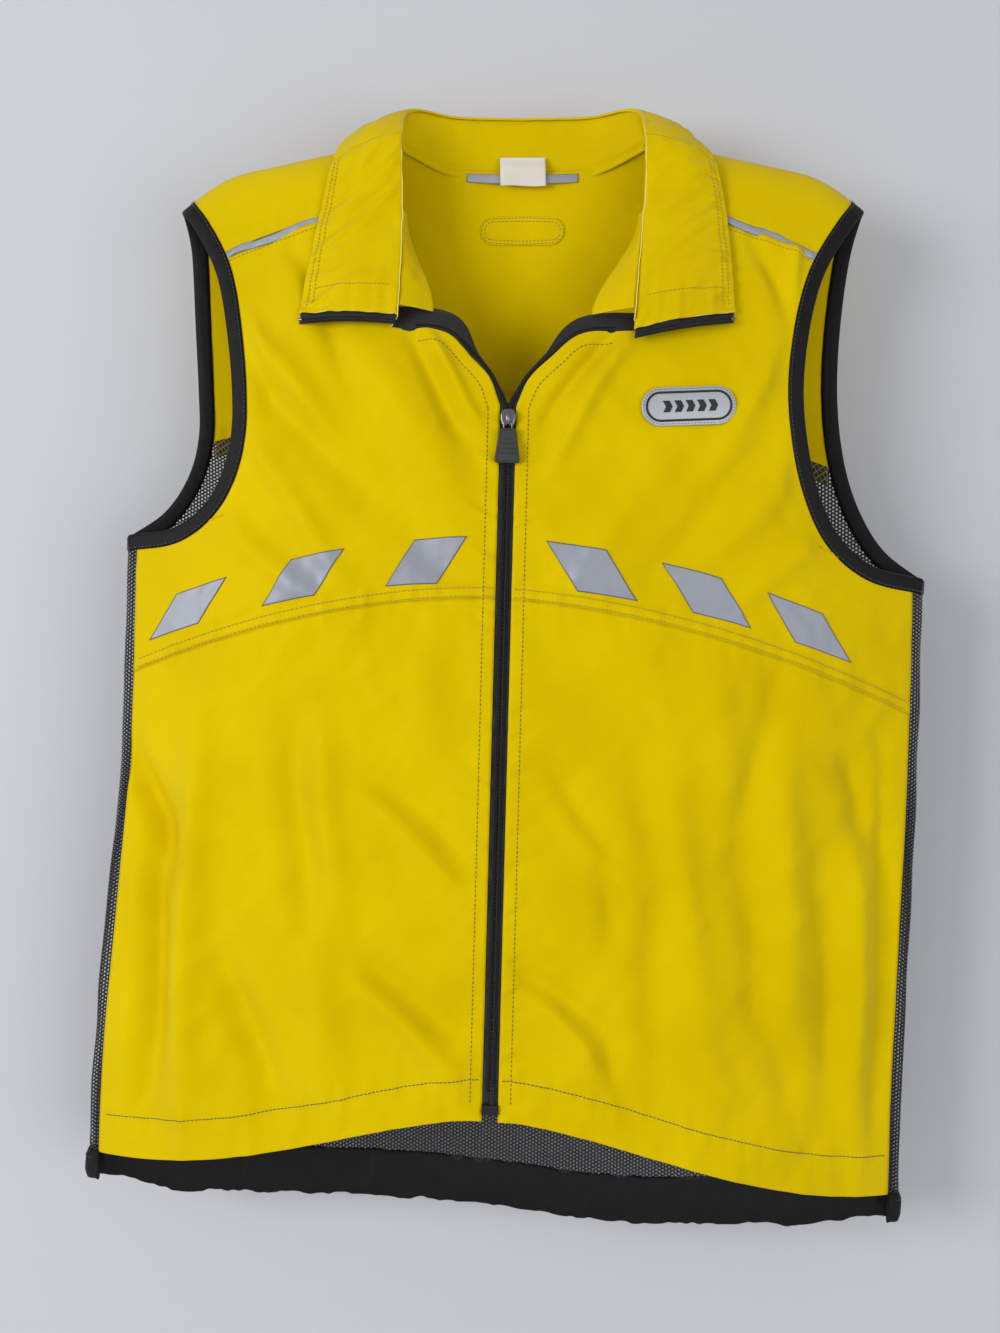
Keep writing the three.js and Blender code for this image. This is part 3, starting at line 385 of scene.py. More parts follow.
def front_relief(x, z):
    """Folds, creases and sewn puckers of the front, at pattern point (x, z)."""
    p = body_mid(-1.0, x, z)
    seam_off = z - arc_seam(x)
    hem_off = z - front_hem(x)
    zip_off = np.abs(x) - ZIP_HALF
    height = sizes().folds * ridges(FRONT_FOLDS, p[..., 0], p[..., 2])
    height += sizes().creases / MM * crumple(p[..., 0], p[..., 2])
    height = height * smooth(0, 16, zip_off) * smooth(-4, 18, np.abs(hem_off))
    height = height * (0.35 + 0.65 * smooth(2, 14, np.abs(seam_off - 3)))
    height += pucker(x, seam_off - 3, 10, 1.3) + pucker(x, hem_off - HEM_DEPTH, 10, 1.2)
    height += pucker(x, hem_off - 6, 12, 1.1, 9)
    height += pucker(z - 0.5 * zip_off, zip_off - 6, 11, 1.5, 5) * smooth(-SLIDER_DROP + 40, -SLIDER_DROP, z)
    height += pucker(x, z - piping_seam(x) + PIPING_WIDTH, 10, 1.1, 7) * smooth(
        NECK_HALF - 10, NECK_HALF + 20, np.abs(x))
    height += 0.9 * smooth(-0.5, 0.7, seam_off) * smooth(8.6, 7.0, seam_off)
    return height * armhole_calm(FRONT_ARMHOLE, x, z)


def back_relief(x, z):
    """Folds, creases and sewn puckers of the back."""
    p = body_mid(1.0, x, z)
    seam_off = z - back_seam(x)
    height = 1.4 * ridges(BACK_FOLDS, p[..., 0], p[..., 2]) + 1.2 * crumple(p[..., 0] + 300, p[..., 2])
    height = height * smooth(0, 18, np.abs(z - back_neck(x)))
    height = height * (0.35 + 0.65 * smooth(2, 14, np.abs(seam_off - 3)))
    height += pucker(x, seam_off - 3, 8, 0.8)
    height += 0.7 * smooth(-0.5, 0.7, seam_off) * smooth(8.6, 7.0, seam_off)
    return height * armhole_calm(BACK_ARMHOLE, x, z)


def front(x, z, h=0.0):
    """Point at height h above the front's outer face, folds and all."""
    return cloth(-1, x, z, h + front_relief(x, z) * smooth(SHOULDER_HALF + 43, SHOULDER_HALF + 25, np.abs(x)))


def back(x, z, h=0.0):
    """Point at height h above the back's outer face."""
    return cloth(1, x, z, h + back_relief(x, z))


# ---- settings ----
def linear(colour):
    """sRGB hex to linear RGBA."""
    parts = [int(colour[n:n + 2], 16) / 255 for n in (1, 3, 5)]
    return tuple(c / 12.92 if c <= 0.04045 else ((c + 0.055) / 1.055) ** 2.4 for c in parts) + (1.0,)


def as_linear(colour):
    """A colour from hex, or one that a setting already holds as linear RGBA."""
    return linear(colour) if isinstance(colour, str) else colour


class VestSizes(bpy.types.PropertyGroup):
    """Sizes of the cloth's look; the vest's own sizes come from the frame"""
    cloth: bpy.props.FloatProperty(
        name="Cloth thickness", description="Thickness the nylon panels are drawn with",
        default=CLOTH_THICK * MM, min=0.0001, max=0.001, precision=5, unit="LENGTH", subtype="DISTANCE")
    folds: bpy.props.FloatProperty(
        name="Fold depth", description="How deep the soft folds are, as a share of their drawn height",
        default=2.1, min=0.0, max=4.0, subtype="FACTOR")
    creases: bpy.props.FloatProperty(
        name="Crease depth", description="Height of the fine creases of packed nylon",
        default=0.0032, min=0.0, max=0.008, precision=4, unit="LENGTH", subtype="DISTANCE")
    gathers: bpy.props.FloatProperty(
        name="Hem gathers", description="How far the elastic band's wall waves",
        default=0.0009, min=0.0, max=0.003, precision=5, unit="LENGTH", subtype="DISTANCE")
    stitch: bpy.props.FloatProperty(
        name="Stitch length", description="Length of one visible stitch of the seams",
        default=0.0022, min=0.001, max=0.0028, precision=4, unit="LENGTH", subtype="DISTANCE")


class VestColours(bpy.types.PropertyGroup):
    """Colours of the cloth and trims"""
    nylon: bpy.props.FloatVectorProperty(
        name="Nylon", description="Golden yellow of the woven panels", subtype="COLOR", size=4, min=0, max=1,
        default=linear("#d4b802"))
    nylon_dark: bpy.props.FloatVectorProperty(
        name="Nylon, deeper", description="Yellow of the places where the dye took a little deeper",
        subtype="COLOR", size=4, min=0, max=1, default=linear("#cbae00"))
    trim: bpy.props.FloatVectorProperty(
        name="Bindings and band", description="Black of the armhole bindings and the hem band",
        subtype="COLOR", size=4, min=0, max=1, default=linear("#0b0a0b"))
    mesh: bpy.props.FloatVectorProperty(
        name="Mesh", description="Black of the knitted back", subtype="COLOR", size=4, min=0, max=1,
        default=linear("#131214"))
    film: bpy.props.FloatVectorProperty(
        name="Reflectors", description="Grey of the reflective film", subtype="COLOR", size=4, min=0, max=1,
        default=linear("#8f929b"))


def sizes():
    """The scene's sizes, as set in the sidebar."""
    return bpy.context.scene.vest_sizes


def colours():
    """The scene's colours, as set in the sidebar."""
    return bpy.context.scene.vest_colours


# ---- meshes ----
def add_piece(name, points, faces, material, body="root", uv=None):
    """Mesh of points in millimetres with its faces, smooth shaded, its own UV map and a named slot."""
    mesh = bpy.data.meshes.new(name)
    mesh.from_pydata((np.asarray(points, float).reshape(-1, 3) * MM).tolist(), [], list(faces))
    mesh.polygons.foreach_set("use_smooth", np.ones(len(mesh.polygons), bool))
    if uv is not None:
        corners = np.empty(len(mesh.loops), int)
        mesh.loops.foreach_get("vertex_index", corners)
        layer = mesh.uv_layers.new(name="cloth")
        layer.data.foreach_set("uv", np.asarray(uv, float).reshape(-1, 2)[corners].ravel())
    mesh.materials.append(material)
    mesh.validate()
    obj = bpy.data.objects.new(name, mesh)
    bpy.context.scene.collection.objects.link(obj)
    if body:
        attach(obj, body)
    return obj


def grid_faces(columns, rows, flip=False):
    """Quads between neighbours of a grid of points; flip turns them to face the other way."""
    i, j = np.meshgrid(np.arange(columns), np.arange(rows), indexing="ij")
    step = rows + 1
    quads = np.stack([i * step + j, (i + 1) * step + j, (i + 1) * step + j + 1, i * step + j + 1], -1)
    quads = quads.reshape(-1, 4)
    return quads[:, ::-1] if flip else quads


def give_thickness(obj, thick, edge=None):
    """Thickens a panel inwards by thick metres; edge is the material of its cut edge."""
    shell = obj.modifiers.new("thickness", "SOLIDIFY")
    shell.thickness, shell.offset = thick, -1
    if edge:
        obj.data.materials.append(edge)
        shell.material_offset_rim = 1


def cloth_panel(name, points, material, uv, flip=False, thick=None, body="root", edge=None):
    """A panel from a grid of points: thick is its thickness in millimetres, the set one where it is None."""
    faces = grid_faces(points.shape[0] - 1, points.shape[1] - 1, flip)
    obj = add_piece(name, points, faces, material, body, uv * MM)
    if thick != 0:
        give_thickness(obj, thick * MM if thick else sizes().cloth, edge)
    return obj


def tube(name, sections, material, body="root", closed=False, uv=None):
    """Sections of points carried along a path and closed at both ends: sections is stations x sides x 3."""
    stations, sides = sections.shape[:2]
    i, k = np.meshgrid(np.arange(stations if closed else stations - 1), np.arange(sides), indexing="ij")
    right, around_k = (i + 1) % stations, (k + 1) % sides
    quads = np.stack([i * sides + k, right * sides + k, right * sides + around_k, i * sides + around_k], -1)
    faces = quads.reshape(-1, 4).tolist()
    if not closed:
        faces += [list(range(sides))[::-1], [(stations - 1) * sides + n for n in range(sides)]]
    if uv is None:
        uv = np.zeros((stations * sides, 2))
    obj = add_piece(name, sections, faces, material, body, np.asarray(uv, float) * MM)
    outward(obj.data)
    return obj


def outward(mesh):
    """Turns the faces of a closed mesh outwards."""
    held = bmesh.new()
    held.from_mesh(mesh)
    bmesh.ops.recalc_face_normals(held, faces=held.faces)
    held.to_mesh(mesh)
    held.free()


def frames(path, up):
    """Unit vectors across a path and up from it; up is a rough upward at each point."""
    ahead = unit(np.gradient(path, axis=0))
    across = unit(np.cross(ahead, up))
    return across, unit(np.cross(across, ahead))


def round_cord(name, path, radius, material, body="root", sides=8, up=(0, -1, 0), closed=False):
    """Round section of a radius carried along a path."""
    up = np.broadcast_to(np.asarray(up, float), path.shape)
    across, rise = frames(path, up)
    angle = np.arange(sides) * 2 * math.pi / sides
    sections = (path[:, None] + radius * (np.cos(angle)[None, :, None] * across[:, None]
                                          + np.sin(angle)[None, :, None] * rise[:, None]))
    return tube(name, sections, material, body, closed)


def bead_faces(count):
    """Faces of beads, each made of four rings of six points."""
    base = np.arange(count)[:, None, None] * 24
    i, k = np.meshgrid(np.arange(3), np.arange(6), indexing="ij")
    quads = np.stack([i * 6 + k, (i + 1) * 6 + k, (i + 1) * 6 + (k + 1) % 6, i * 6 + (k + 1) % 6], -1)
    quads = (quads.reshape(1, -1, 4) + base).reshape(-1, 4)
    caps = np.array([[0, 1, 2, 3], [0, 3, 4, 5], [21, 20, 19, 18], [23, 22, 21, 18]])
    return np.concatenate([quads[:, ::-1], (caps[None] + base).reshape(-1, 4)])


def stitches(name, rows, material, body="root", pitch=2.9, length=None, thick=0.26, lift=0.12):
    """Rows of running stitches: each row is (points, normals) in millimetres. A stitch is a six-sided
    bead, pointed where the thread dives into the cloth."""
    length = length or sizes().stitch / MM
    parts = []
    for points, normals in rows:
        way = lengths(points)
        centre = np.arange(pitch / 2, way[-1] - pitch / 2, pitch)
        share = np.array([-0.5, -0.28, 0.28, 0.5]) * length
        at = centre[:, None] + share[None]
        p = np.stack([np.interp(at, way, points[:, k]) for k in range(3)], -1)
        n = unit(np.stack([np.interp(at, way, normals[:, k]) for k in range(3)], -1))
        d = unit(p[:, -1:] - p[:, :1])
        side = unit(np.cross(np.broadcast_to(d, n.shape), n))
        wide = np.array([0.25, 1, 1, 0.25]) * thick
        rise = np.array([-0.1, 1, 1, -0.1]) * lift
        angle = np.arange(6) * math.pi / 3
        ring = (p + n * rise[None, :, None])[:, :, None] + wide[None, :, None, None] * (
            np.cos(angle)[None, None, :, None] * side[:, :, None]
            + np.sin(angle)[None, None, :, None] * n[:, :, None])
        parts.append(ring)
    rings = np.concatenate(parts)
    return add_piece(name, rings, bead_faces(len(rings)), material, body, None)


def upright(surface, h, step=1.0):
    """The line surface(h), with the direction in which it moves as h grows by step."""
    base = surface(h)
    return base, unit(surface(h + step) - base)


def on_front(points, h=0.0):
    """A seam line of (x, z) laid on the front, with the cloth's outward direction along it."""
    return upright(lambda level: front(points[:, 0], points[:, 1], level), h)


def on_back(points, h=0.0):
    """A seam line of (x, z) laid on the back."""
    return upright(lambda level: back(points[:, 0], points[:, 1], level), h)


# ---- materials ----
def node(tree, kind, links=(), **settings):
    """Adds a node: settings are its own properties or its inputs by name or number, and links are
    (input, output socket)."""
    made = tree.nodes.new(kind)
    for key, value in settings.items():
        if hasattr(made, key) and key not in made.inputs:
            setattr(made, key, value)
        else:
            made.inputs[int(key[1:]) if key[0] == "i" and key[1:].isdigit() else key].default_value = value
    for key, socket in links:
        tree.links.new(made.inputs[key], socket)
    return made


def shader(name, colour, roughness, **sockets):
    """A new material's node tree and its Principled shader, with the constant sockets set."""
    material = bpy.data.materials.new(name)
    material.use_nodes = True
    tree = material.node_tree
    principled = tree.nodes["Principled BSDF"]
    principled.inputs["Base Color"].default_value = as_linear(colour)
    principled.inputs["Roughness"].default_value = roughness
    for key, value in sockets.items():
        principled.inputs[key.replace("_", " ")].default_value = value
    return material, tree, principled


def waves(tree, where, directions, pitch):
    """One cosine for each direction over the cloth, with crests pitch metres apart."""
    crests = []
    for turn in directions:
        way = (math.cos(turn) * 2 * math.pi / pitch, math.sin(turn) * 2 * math.pi / pitch, 0)
        dot = node(tree, "ShaderNodeVectorMath", [(0, where)], operation="DOT_PRODUCT", i1=way)
        crest = node(tree, "ShaderNodeMath", [(0, dot.outputs["Value"])], operation="COSINE")
        crests.append(crest.outputs[0])
    return crests


def math_node(tree, operation, a, b):
    """Maths on two sockets, or on a socket and a number."""
    made = node(tree, "ShaderNodeMath", operation=operation)
    for n, value in enumerate((a, b)):
        if isinstance(value, (int, float)):
            made.inputs[n].default_value = value
        else:
            tree.links.new(made.inputs[n], value)
    return made.outputs[0]


def bump(tree, principled, height, distance, strength=1.0):
    """Relief of distance metres from a 0 to 1 height."""
    made = node(tree, "ShaderNodeBump", [("Height", height)], Strength=strength, Distance=distance)
    tree.links.new(principled.inputs["Normal"], made.outputs["Normal"])


def varied(tree, principled, where, dark, light, scale, detail=3.0):
    """Base colour that drifts between two colours over the cloth."""
    cloud = node(tree, "ShaderNodeTexNoise", [("Vector", where)], Scale=scale, Detail=detail)
    ramp = node(tree, "ShaderNodeValToRGB", [("Fac", cloud.outputs["Fac"])])
    for stop, position, colour in zip(ramp.color_ramp.elements, (0.3, 0.7), (dark, light)):
        stop.position, stop.color = position, as_linear(colour)
    tree.links.new(principled.inputs["Base Color"], ramp.outputs["Color"])


def plain_weave(name, dark, light, roughness, pitch, depth, **sockets):
    """Plain weave: warp and weft crests cross at right angles, each thread pitch metres wide."""
    material, tree, principled = shader(name, light, roughness, **sockets)
    where = node(tree, "ShaderNodeUVMap", uv_map="cloth").outputs["UV"]
    varied(tree, principled, where, dark, light, 14)
    warp, weft = waves(tree, where, (0, math.pi / 2), pitch)
    height = math_node(tree, "MULTIPLY", warp, weft)
    bump(tree, principled, math_node(tree, "MULTIPLY_ADD", height, 0.5), depth)
    return material


def woven_nylon():
    """Ripstop-weight nylon taffeta, calendered: fine plain weave with a soft waxy sheen. Its 0.2 mm threads
    don't show from where the vest is seen, so they are drawn 0.8 mm apart."""
    return plain_weave("woven_nylon", colours().nylon_dark, colours().nylon, 0.5, 0.0008, 0.00003,
                       Specular_IOR_Level=0.25, Specular_Tint=linear("#e6c81e"), IOR=1.53)


def cut_nylon_edge():
    """The folded edge of the same nylon, where light comes through a single layer: paler."""
    return shader("nylon_folded_edge", "#e9d977", 0.6, Specular_IOR_Level=0.3)[0]


def thread(name, colour):
    """Spun polyester sewing thread: matt, with a faint sheen."""
    return shader(name, colour, 0.65, Sheen_Weight=0.3)[0]


def warp_knit_mesh():
    """Warp-knit polyester eyelet mesh: round holes in a triangular layout 2.1 mm apart, between matt
    yarns. Three waves at 60 degrees meet in a peak at each hole."""
    material, tree, principled = shader("warp_knit_mesh", colours().mesh, 0.75, Sheen_Weight=0.08)
    where = node(tree, "ShaderNodeUVMap", uv_map="cloth").outputs["UV"]
    crests = waves(tree, where, (0, math.pi / 3, 2 * math.pi / 3), 0.0021)
    total = math_node(tree, "ADD", math_node(tree, "ADD", crests[0], crests[1]), crests[2])
    yarn = node(tree, "ShaderNodeMapRange", [("Value", total)], i1=0.75, i2=0.35, i3=0.0, i4=1.0)
    tree.links.new(principled.inputs["Alpha"], yarn.outputs["Result"])
    bump(tree, principled, math_node(tree, "MULTIPLY", total, -0.33), 0.0003)
    return material


def black_taffeta():
    """Black polyester taffeta tape: matt, with fine cross ribs 1 mm apart."""
    material, tree, principled = shader("black_taffeta", colours().trim, 0.5, Specular_IOR_Level=0.2)
    where = node(tree, "ShaderNodeUVMap", uv_map="cloth").outputs["UV"]
    ribs = waves(tree, where, (0.0,), 0.0011)[0]
    cross = waves(tree, where, (math.pi / 2,), 0.0011)[0]
    bump(tree, principled, math_node(tree, "MULTIPLY", ribs, cross), 0.00006)
    return material


def retroreflective_film():
    """Glass-bead retroreflective film on cloth: even grey with a soft pearl gloss and a thin darker
    heat-sealed border. The UV map runs from 0 to 1 across each piece."""
    material, tree, principled = shader("retroreflective_film", "#8f929a", 0.5, Metallic=0.12,
                                        Coat_Weight=0.08, Coat_Roughness=0.35)
    where = node(tree, "ShaderNodeUVMap", uv_map="cloth").outputs["UV"]
    split = node(tree, "ShaderNodeSeparateXYZ", [(0, where)])
    nearest = None
    for axis, size in (("X", REFLECTOR_WIDTH), ("Y", REFLECTOR_HEIGHT)):
        middle = math_node(tree, "ABSOLUTE", math_node(tree, "SUBTRACT", split.outputs[axis], 0.5), 0)
        inside = math_node(tree, "MULTIPLY", math_node(tree, "SUBTRACT", 0.5, middle), size)
        nearest = inside if nearest is None else math_node(tree, "MINIMUM", nearest, inside)
    ramp = node(tree, "ShaderNodeValToRGB",
                [("Fac", math_node(tree, "DIVIDE", nearest, 4.0))])
    stops = ramp.color_ramp.elements
    stops[0].position, stops[1].position = 0.16, 0.3
    stops[0].color, stops[1].color = linear("#5f6168"), colours().film
    tree.links.new(principled.inputs["Base Color"], ramp.outputs["Color"])
    return material


def badge_film():
    """The badge's own retroreflective film: the same grey beads, with no border."""
    material, tree, principled = shader("badge_film", "#a9adb0", 0.4, Metallic=0.2, Coat_Weight=0.15,
                                        Coat_Roughness=0.3)
    where = node(tree, "ShaderNodeTexCoord").outputs["Object"]
    beads = node(tree, "ShaderNodeTexNoise", [("Vector", where)], Scale=1600.0, Detail=1.0)
    bump(tree, principled, beads.outputs["Fac"], 0.00004)
    return material


def reflective_braid():
    """Grey reflective braid and tape: beads over a fine woven ground, threads 1 mm apart."""
    return plain_weave("reflective_braid", "#85888f", "#a5a9b0", 0.42, 0.001, 0.00005,
                       Metallic=0.2, Specular_IOR_Level=0.5)


def zip_tape_weave():
    """Zip tape: twill-woven polyester, near black, with ribs 0.9 mm apart along its length."""
    material, tree, principled = shader("zip_tape_twill", "#0e0c0e", 0.7, Sheen_Weight=0.08)
    where = node(tree, "ShaderNodeUVMap", uv_map="cloth").outputs["UV"]
    ribs = waves(tree, where, (math.pi / 4,), 0.0012)[0]
    bump(tree, principled, ribs, 0.00008)
    return material


def nylon_coil():
    """Extruded nylon monofilament, wound to a coil: black, semi-gloss."""
    return shader("nylon_coil", "#100f10", 0.38, IOR=1.53, Specular_IOR_Level=0.35)[0]


def gunmetal():
    """Die-cast zinc with black nickel plating: dark, mirror-like and slightly worn in the grain."""
    material, tree, principled = shader("black_nickel_zinc", "#77777c", 0.24, Metallic=1.0)
    where = node(tree, "ShaderNodeTexCoord").outputs["Object"]
    grain = node(tree, "ShaderNodeTexNoise", [("Vector", where)], Scale=900.0, Detail=2.0)
    rough = node(tree, "ShaderNodeMapRange", [("Value", grain.outputs["Fac"])], i3=0.18, i4=0.34)
    tree.links.new(principled.inputs["Roughness"], rough.outputs["Result"])
    return material


def soft_rubber():
    """Moulded PVC zip pull: charcoal, matt, faintly pebbled from its mould."""
    material, tree, principled = shader("moulded_pvc", "#2b2c2a", 0.55)
    where = node(tree, "ShaderNodeTexCoord").outputs["Object"]
    grain = node(tree, "ShaderNodeTexNoise", [("Vector", where)], Scale=2500.0, Detail=1.0)
    bump(tree, principled, grain.outputs["Fac"], 0.00004)
    return material


def satin_label():
    """Blank woven satin label: off-white, with a soft sheen across its fine ribs."""
    return plain_weave("satin_label", "#cfc8b8", "#e4dfd2", 0.45, 0.0007, 0.00003, Sheen_Weight=0.3)


def overlock_web():
    """Overlocked seam allowance: black cloth under slanting yellow looper threads 1.6 mm apart."""
    material, tree, principled = shader("overlock_threads", "#1b1918", 0.75)
    where = node(tree, "ShaderNodeUVMap", uv_map="cloth").outputs["UV"]
    slant = waves(tree, where, (0.5,), 0.0026)[0]
    cross = waves(tree, where, (2.2,), 0.0034)[0]
    both = math_node(tree, "MAXIMUM", slant, cross)
    ramp = node(tree, "ShaderNodeValToRGB", [("Fac", both)])
    ramp.color_ramp.elements[0].position, ramp.color_ramp.elements[1].position = 0.86, 0.96
    for stop, colour in zip(ramp.color_ramp.elements, ("#1d1a18", "#8a7416")):
        stop.color = linear(colour)
    tree.links.new(principled.inputs["Base Color"], ramp.outputs["Color"])
    bump(tree, principled, both, 0.0002)
    return material


def painted(name, colour, roughness=0.9):
    """Flat emulsion or print of one colour."""
    return shader(name, colour, roughness)[0]


REFLECTOR_WIDTH, REFLECTOR_HEIGHT, REFLECTOR_LEAN = 42.0, 40.0, 17.0
FINISH = {}


def finish(name):
    """The named finish, made once."""
    makers = {
        "nylon": woven_nylon, "edge": cut_nylon_edge, "mesh": warp_knit_mesh, "taffeta": black_taffeta,
        "film": retroreflective_film, "braid": reflective_braid, "tape": zip_tape_weave,
        "coil": nylon_coil, "metal": gunmetal, "rubber": soft_rubber, "label": satin_label,
        "overlock": overlock_web, "badge": badge_film,
        "yellow_thread": lambda: thread("yellow_thread", "#a88c06"),
        # olive: matching yellow thread darkened with painted shade of the puckered stitch line beside the zip
        "olive_painted_shade_thread": lambda: thread("olive_painted_shade_thread", "#6f6418"),
        # charcoal: matching yellow thread darkened with deeper painted shade of the puckered hem stitch line
        "deep_painted_shade_thread": lambda: thread("charcoal_painted_shade_thread", "#4a4520"),
        "black_thread": lambda: thread("black_thread", "#2b2a2c"),
        "grey_thread": lambda: thread("grey_thread", "#6f727a"),
        "ink": lambda: painted("black_print", "#17171a", 0.6),
    }
    if name not in FINISH:
        FINISH[name] = makers[name]()
    return FINISH[name]


# ---- pieces ----
def both(points_left, sign):
    """Mirrors pattern points (x, z) for the wearer's right."""
    return points_left * np.array([sign, 1.0])


def zip_edge(t, share=0.75):
    """Front edge beside the zip: straight up to the slider, then the opening's curve to the collar."""
    t = np.asarray(t, float)
    curve = spline(VEE_EDGE, np.clip((t - share) / (1 - share), 0, 1))
    curve = curve + np.stack([np.maximum(t - 1, 0) * 350, 0 * t], -1)
    line = np.stack([np.full(t.shape, ZIP_HALF), mix(ZIP_BOTTOM, -SLIDER_DROP, np.minimum(t / share, 1))], -1)
    return np.where((t <= share)[..., None], line, curve)


def armhole_side(t_top):
    """Outer edge of the front yoke: up the armhole from the side seam."""
    t = np.linspace(0.985, t_top, 60)
    p = inset_curve(FRONT_ARMHOLE, t, np.full(t.shape, BINDING_WIDTH - 3.0))
    p[:, 0] = np.minimum(p[:, 0], SIDE_SEAM)
    return np.vstack([[SIDE_SEAM, arc_seam(SIDE_SEAM)], p])


def build_front_yokes():
    """Upper fronts, from the arc seam to the forward shoulder seam."""
    u, v = grid(120, 150)
    for name, sign in SIDES:
        def seam_top(x):
            return piping_seam(x) - PIPING_WIDTH + 1.5
        t_top = crossing(FRONT_ARMHOLE, BINDING_WIDTH - 3, seam_top)
        outer = armhole_side(t_top)
        inner = np.vstack([[ZIP_HALF, arc_seam(ZIP_HALF)], spline(VEE_EDGE, np.linspace(0, 1, 60)),
                           [NECK_HALF, seam_top(NECK_HALF)]])
        top_x = outer[-1, 0]

        def bottom(t):
            x = mix(ZIP_HALF, SIDE_SEAM, t)
            return np.stack([x, arc_seam(x)], -1)

        def top(t):
            x = mix(NECK_HALF, top_x, t)
            return np.stack([x, seam_top(x)], -1)
        p = patch(bottom, top, lambda t: along(inner, t), lambda t: along(outer, t), u, v)
        x, z = sign * p[..., 0], p[..., 1]
        points = front(x, z, 0.25)
        piece = cloth_panel(f"front_yoke_cloth_{name}", points, finish("nylon"),
                            np.stack([x, z], -1), flip=sign < 0, edge=finish("edge"))
        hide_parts(f"front_yoke_{name}")


def build_front_lowers():
    """Lower fronts, turned up inside at the hem."""
    facing_rows, turn_rows, front_rows = 10, 6, 150
    rows = facing_rows + turn_rows + front_rows
    u, v = grid(120, rows)
    n = np.rint(v * rows)
    for name, sign in SIDES:
        x = mix(ZIP_HALF, SIDE_SEAM, u)
        hem, seam = front_hem(x), arc_seam(x)
        facing = n / facing_rows
        turning = (n - facing_rows) / turn_rows * math.pi
        rising = (n - facing_rows - turn_rows) / front_rows
        z = np.where(n < facing_rows, mix(hem + HEM_DEPTH, hem, facing),
                     np.where(n < facing_rows + turn_rows, hem - 0.9 * np.sin(turning),
                              mix(hem, seam, rising)))
        h = np.where(n < facing_rows, -1.4,
                     np.where(n < facing_rows + turn_rows, -0.575 - 0.825 * np.cos(turning), 0.25))
        x_signed = sign * x
        relief = front_relief(x_signed, np.maximum(z, hem)) * smooth(SIDE_SEAM + 6, SIDE_SEAM - 16, x)
        points = cloth(-1, x_signed, z, h + relief)
        piece = cloth_panel(f"front_lower_cloth_{name}", points, finish("nylon"),
                            np.stack([x_signed, z], -1), flip=sign < 0, thick=0.4, edge=finish("edge"))
        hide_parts(f"front_lower_{name}", f"front_hem_facing_{name}")


def build_back_yoke():
    """Back yoke: over both shoulders from the piping, and down to the back seam."""
    t_front = crossing(FRONT_ARMHOLE, BINDING_WIDTH - 3, piping_seam)
    t_back = crossing(BACK_ARMHOLE, BINDING_WIDTH - 3, back_seam)
    tip = np.array([[SHOULDER_HALF - BINDING_WIDTH + 3, 0.0]])

    def ways(curve, start, end, side):
        p = inset_curve(curve, np.linspace(start, end, 30), np.full(30, BINDING_WIDTH - 3.0))
        z = np.minimum(p[:, 1], shoulder_top(p[:, 0]))
        return np.stack([p[:, 0], side * shoulder_way(p[:, 0], z)], -1)
    fore = np.vstack([ways(FRONT_ARMHOLE, t_front, 0.06, -1), tip])
    aft = np.vstack([tip, ways(BACK_ARMHOLE, 0.06, t_back, 1)])

    def seam_way(x, side, seam):
        return np.stack([x, side * shoulder_way(x, seam(x))], -1)

    def over_top(t):
        return np.stack([mix(NECK_HALF, tip[0, 0], t), 0 * t], -1)
    u, v = grid(70, 46)
    front_lobe = patch(lambda t: seam_way(mix(NECK_HALF, fore[0, 0], t), -1, piping_seam), over_top,
                       lambda t: np.stack([NECK_HALF + 0 * t,
                                           mix(-shoulder_way(NECK_HALF, -34.0), 0, t)], -1),
                       lambda t: along(fore, t), u, v)
    ub, vb = grid(70, 90)
    low = shoulder_way(NECK_HALF, back_seam(NECK_HALF))
    back_lobe = patch(over_top, lambda t: seam_way(mix(NECK_HALF, aft[-1, 0], t), 1, back_seam),
                      lambda t: np.stack([NECK_HALF + 0 * t, mix(0, low, t)], -1),
                      lambda t: along(aft, t), ub, vb)
    un, vn = grid(80, 90)
    xn = mix(-NECK_HALF, NECK_HALF, un)
    # the middle's rows meet the lobes' along x = 80, so they are spaced as the way over the shoulder is
    neck_z = back_neck(xn)
    fall = mix(0, low, vn)
    share = shoulder_fall(fall) / (NECK_POINT - back_seam(NECK_HALF))
    zn = mix(neck_z, back_seam(xn), share)
    middle = cloth(1, np.clip(xn, -NECK_HALF + 0.02, NECK_HALF - 0.02), zn, 0.25 + back_relief(xn, zn))
    parts, uvs, faces, start = [middle.reshape(-1, 3)], [np.stack([xn, zn], -1).reshape(-1, 2)], [
        grid_faces(80, 90)], 81 * 91
    for sign in (1, -1):
        for p, columns, rows in ((front_lobe, 70, 46), (back_lobe, 70, 90)):
            x, s = sign * p[..., 0], p[..., 1]
            z = shoulder_top(x) - shoulder_fall(s)
            relief = np.where(s > 0, back_relief(x, z),
                              pucker(x, np.abs(s + shoulder_way(x, piping_seam(x))), 9, 0.7, 6)
                              + 0.5 * crumple(x, z)) * smooth(0, 14, np.abs(s))
            relief = relief * np.where(s > 0, 1.0, armhole_calm(FRONT_ARMHOLE, x, z))
            points = over(x, s, 0.25 + relief)
            parts.append(points.reshape(-1, 3))
            uvs.append(np.stack([x, -s], -1).reshape(-1, 2))
            faces.append(grid_faces(columns, rows, flip=sign < 0) + start)
            start += (columns + 1) * (rows + 1)
    piece = add_piece("back_yoke_cloth", np.concatenate(parts), np.concatenate(faces), finish("nylon"),
                      "root", np.concatenate(uvs) * MM)
    weld(piece, 0.0005)
    give_thickness(piece, sizes().cloth, finish("edge"))
    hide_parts("back_yoke")


def weld(obj, distance):
    """Merges points that lie together."""
    held = bmesh.new()
    held.from_mesh(obj.data)
    bmesh.ops.remove_doubles(held, verts=held.verts, dist=distance)
    held.to_mesh(obj.data)
    held.free()


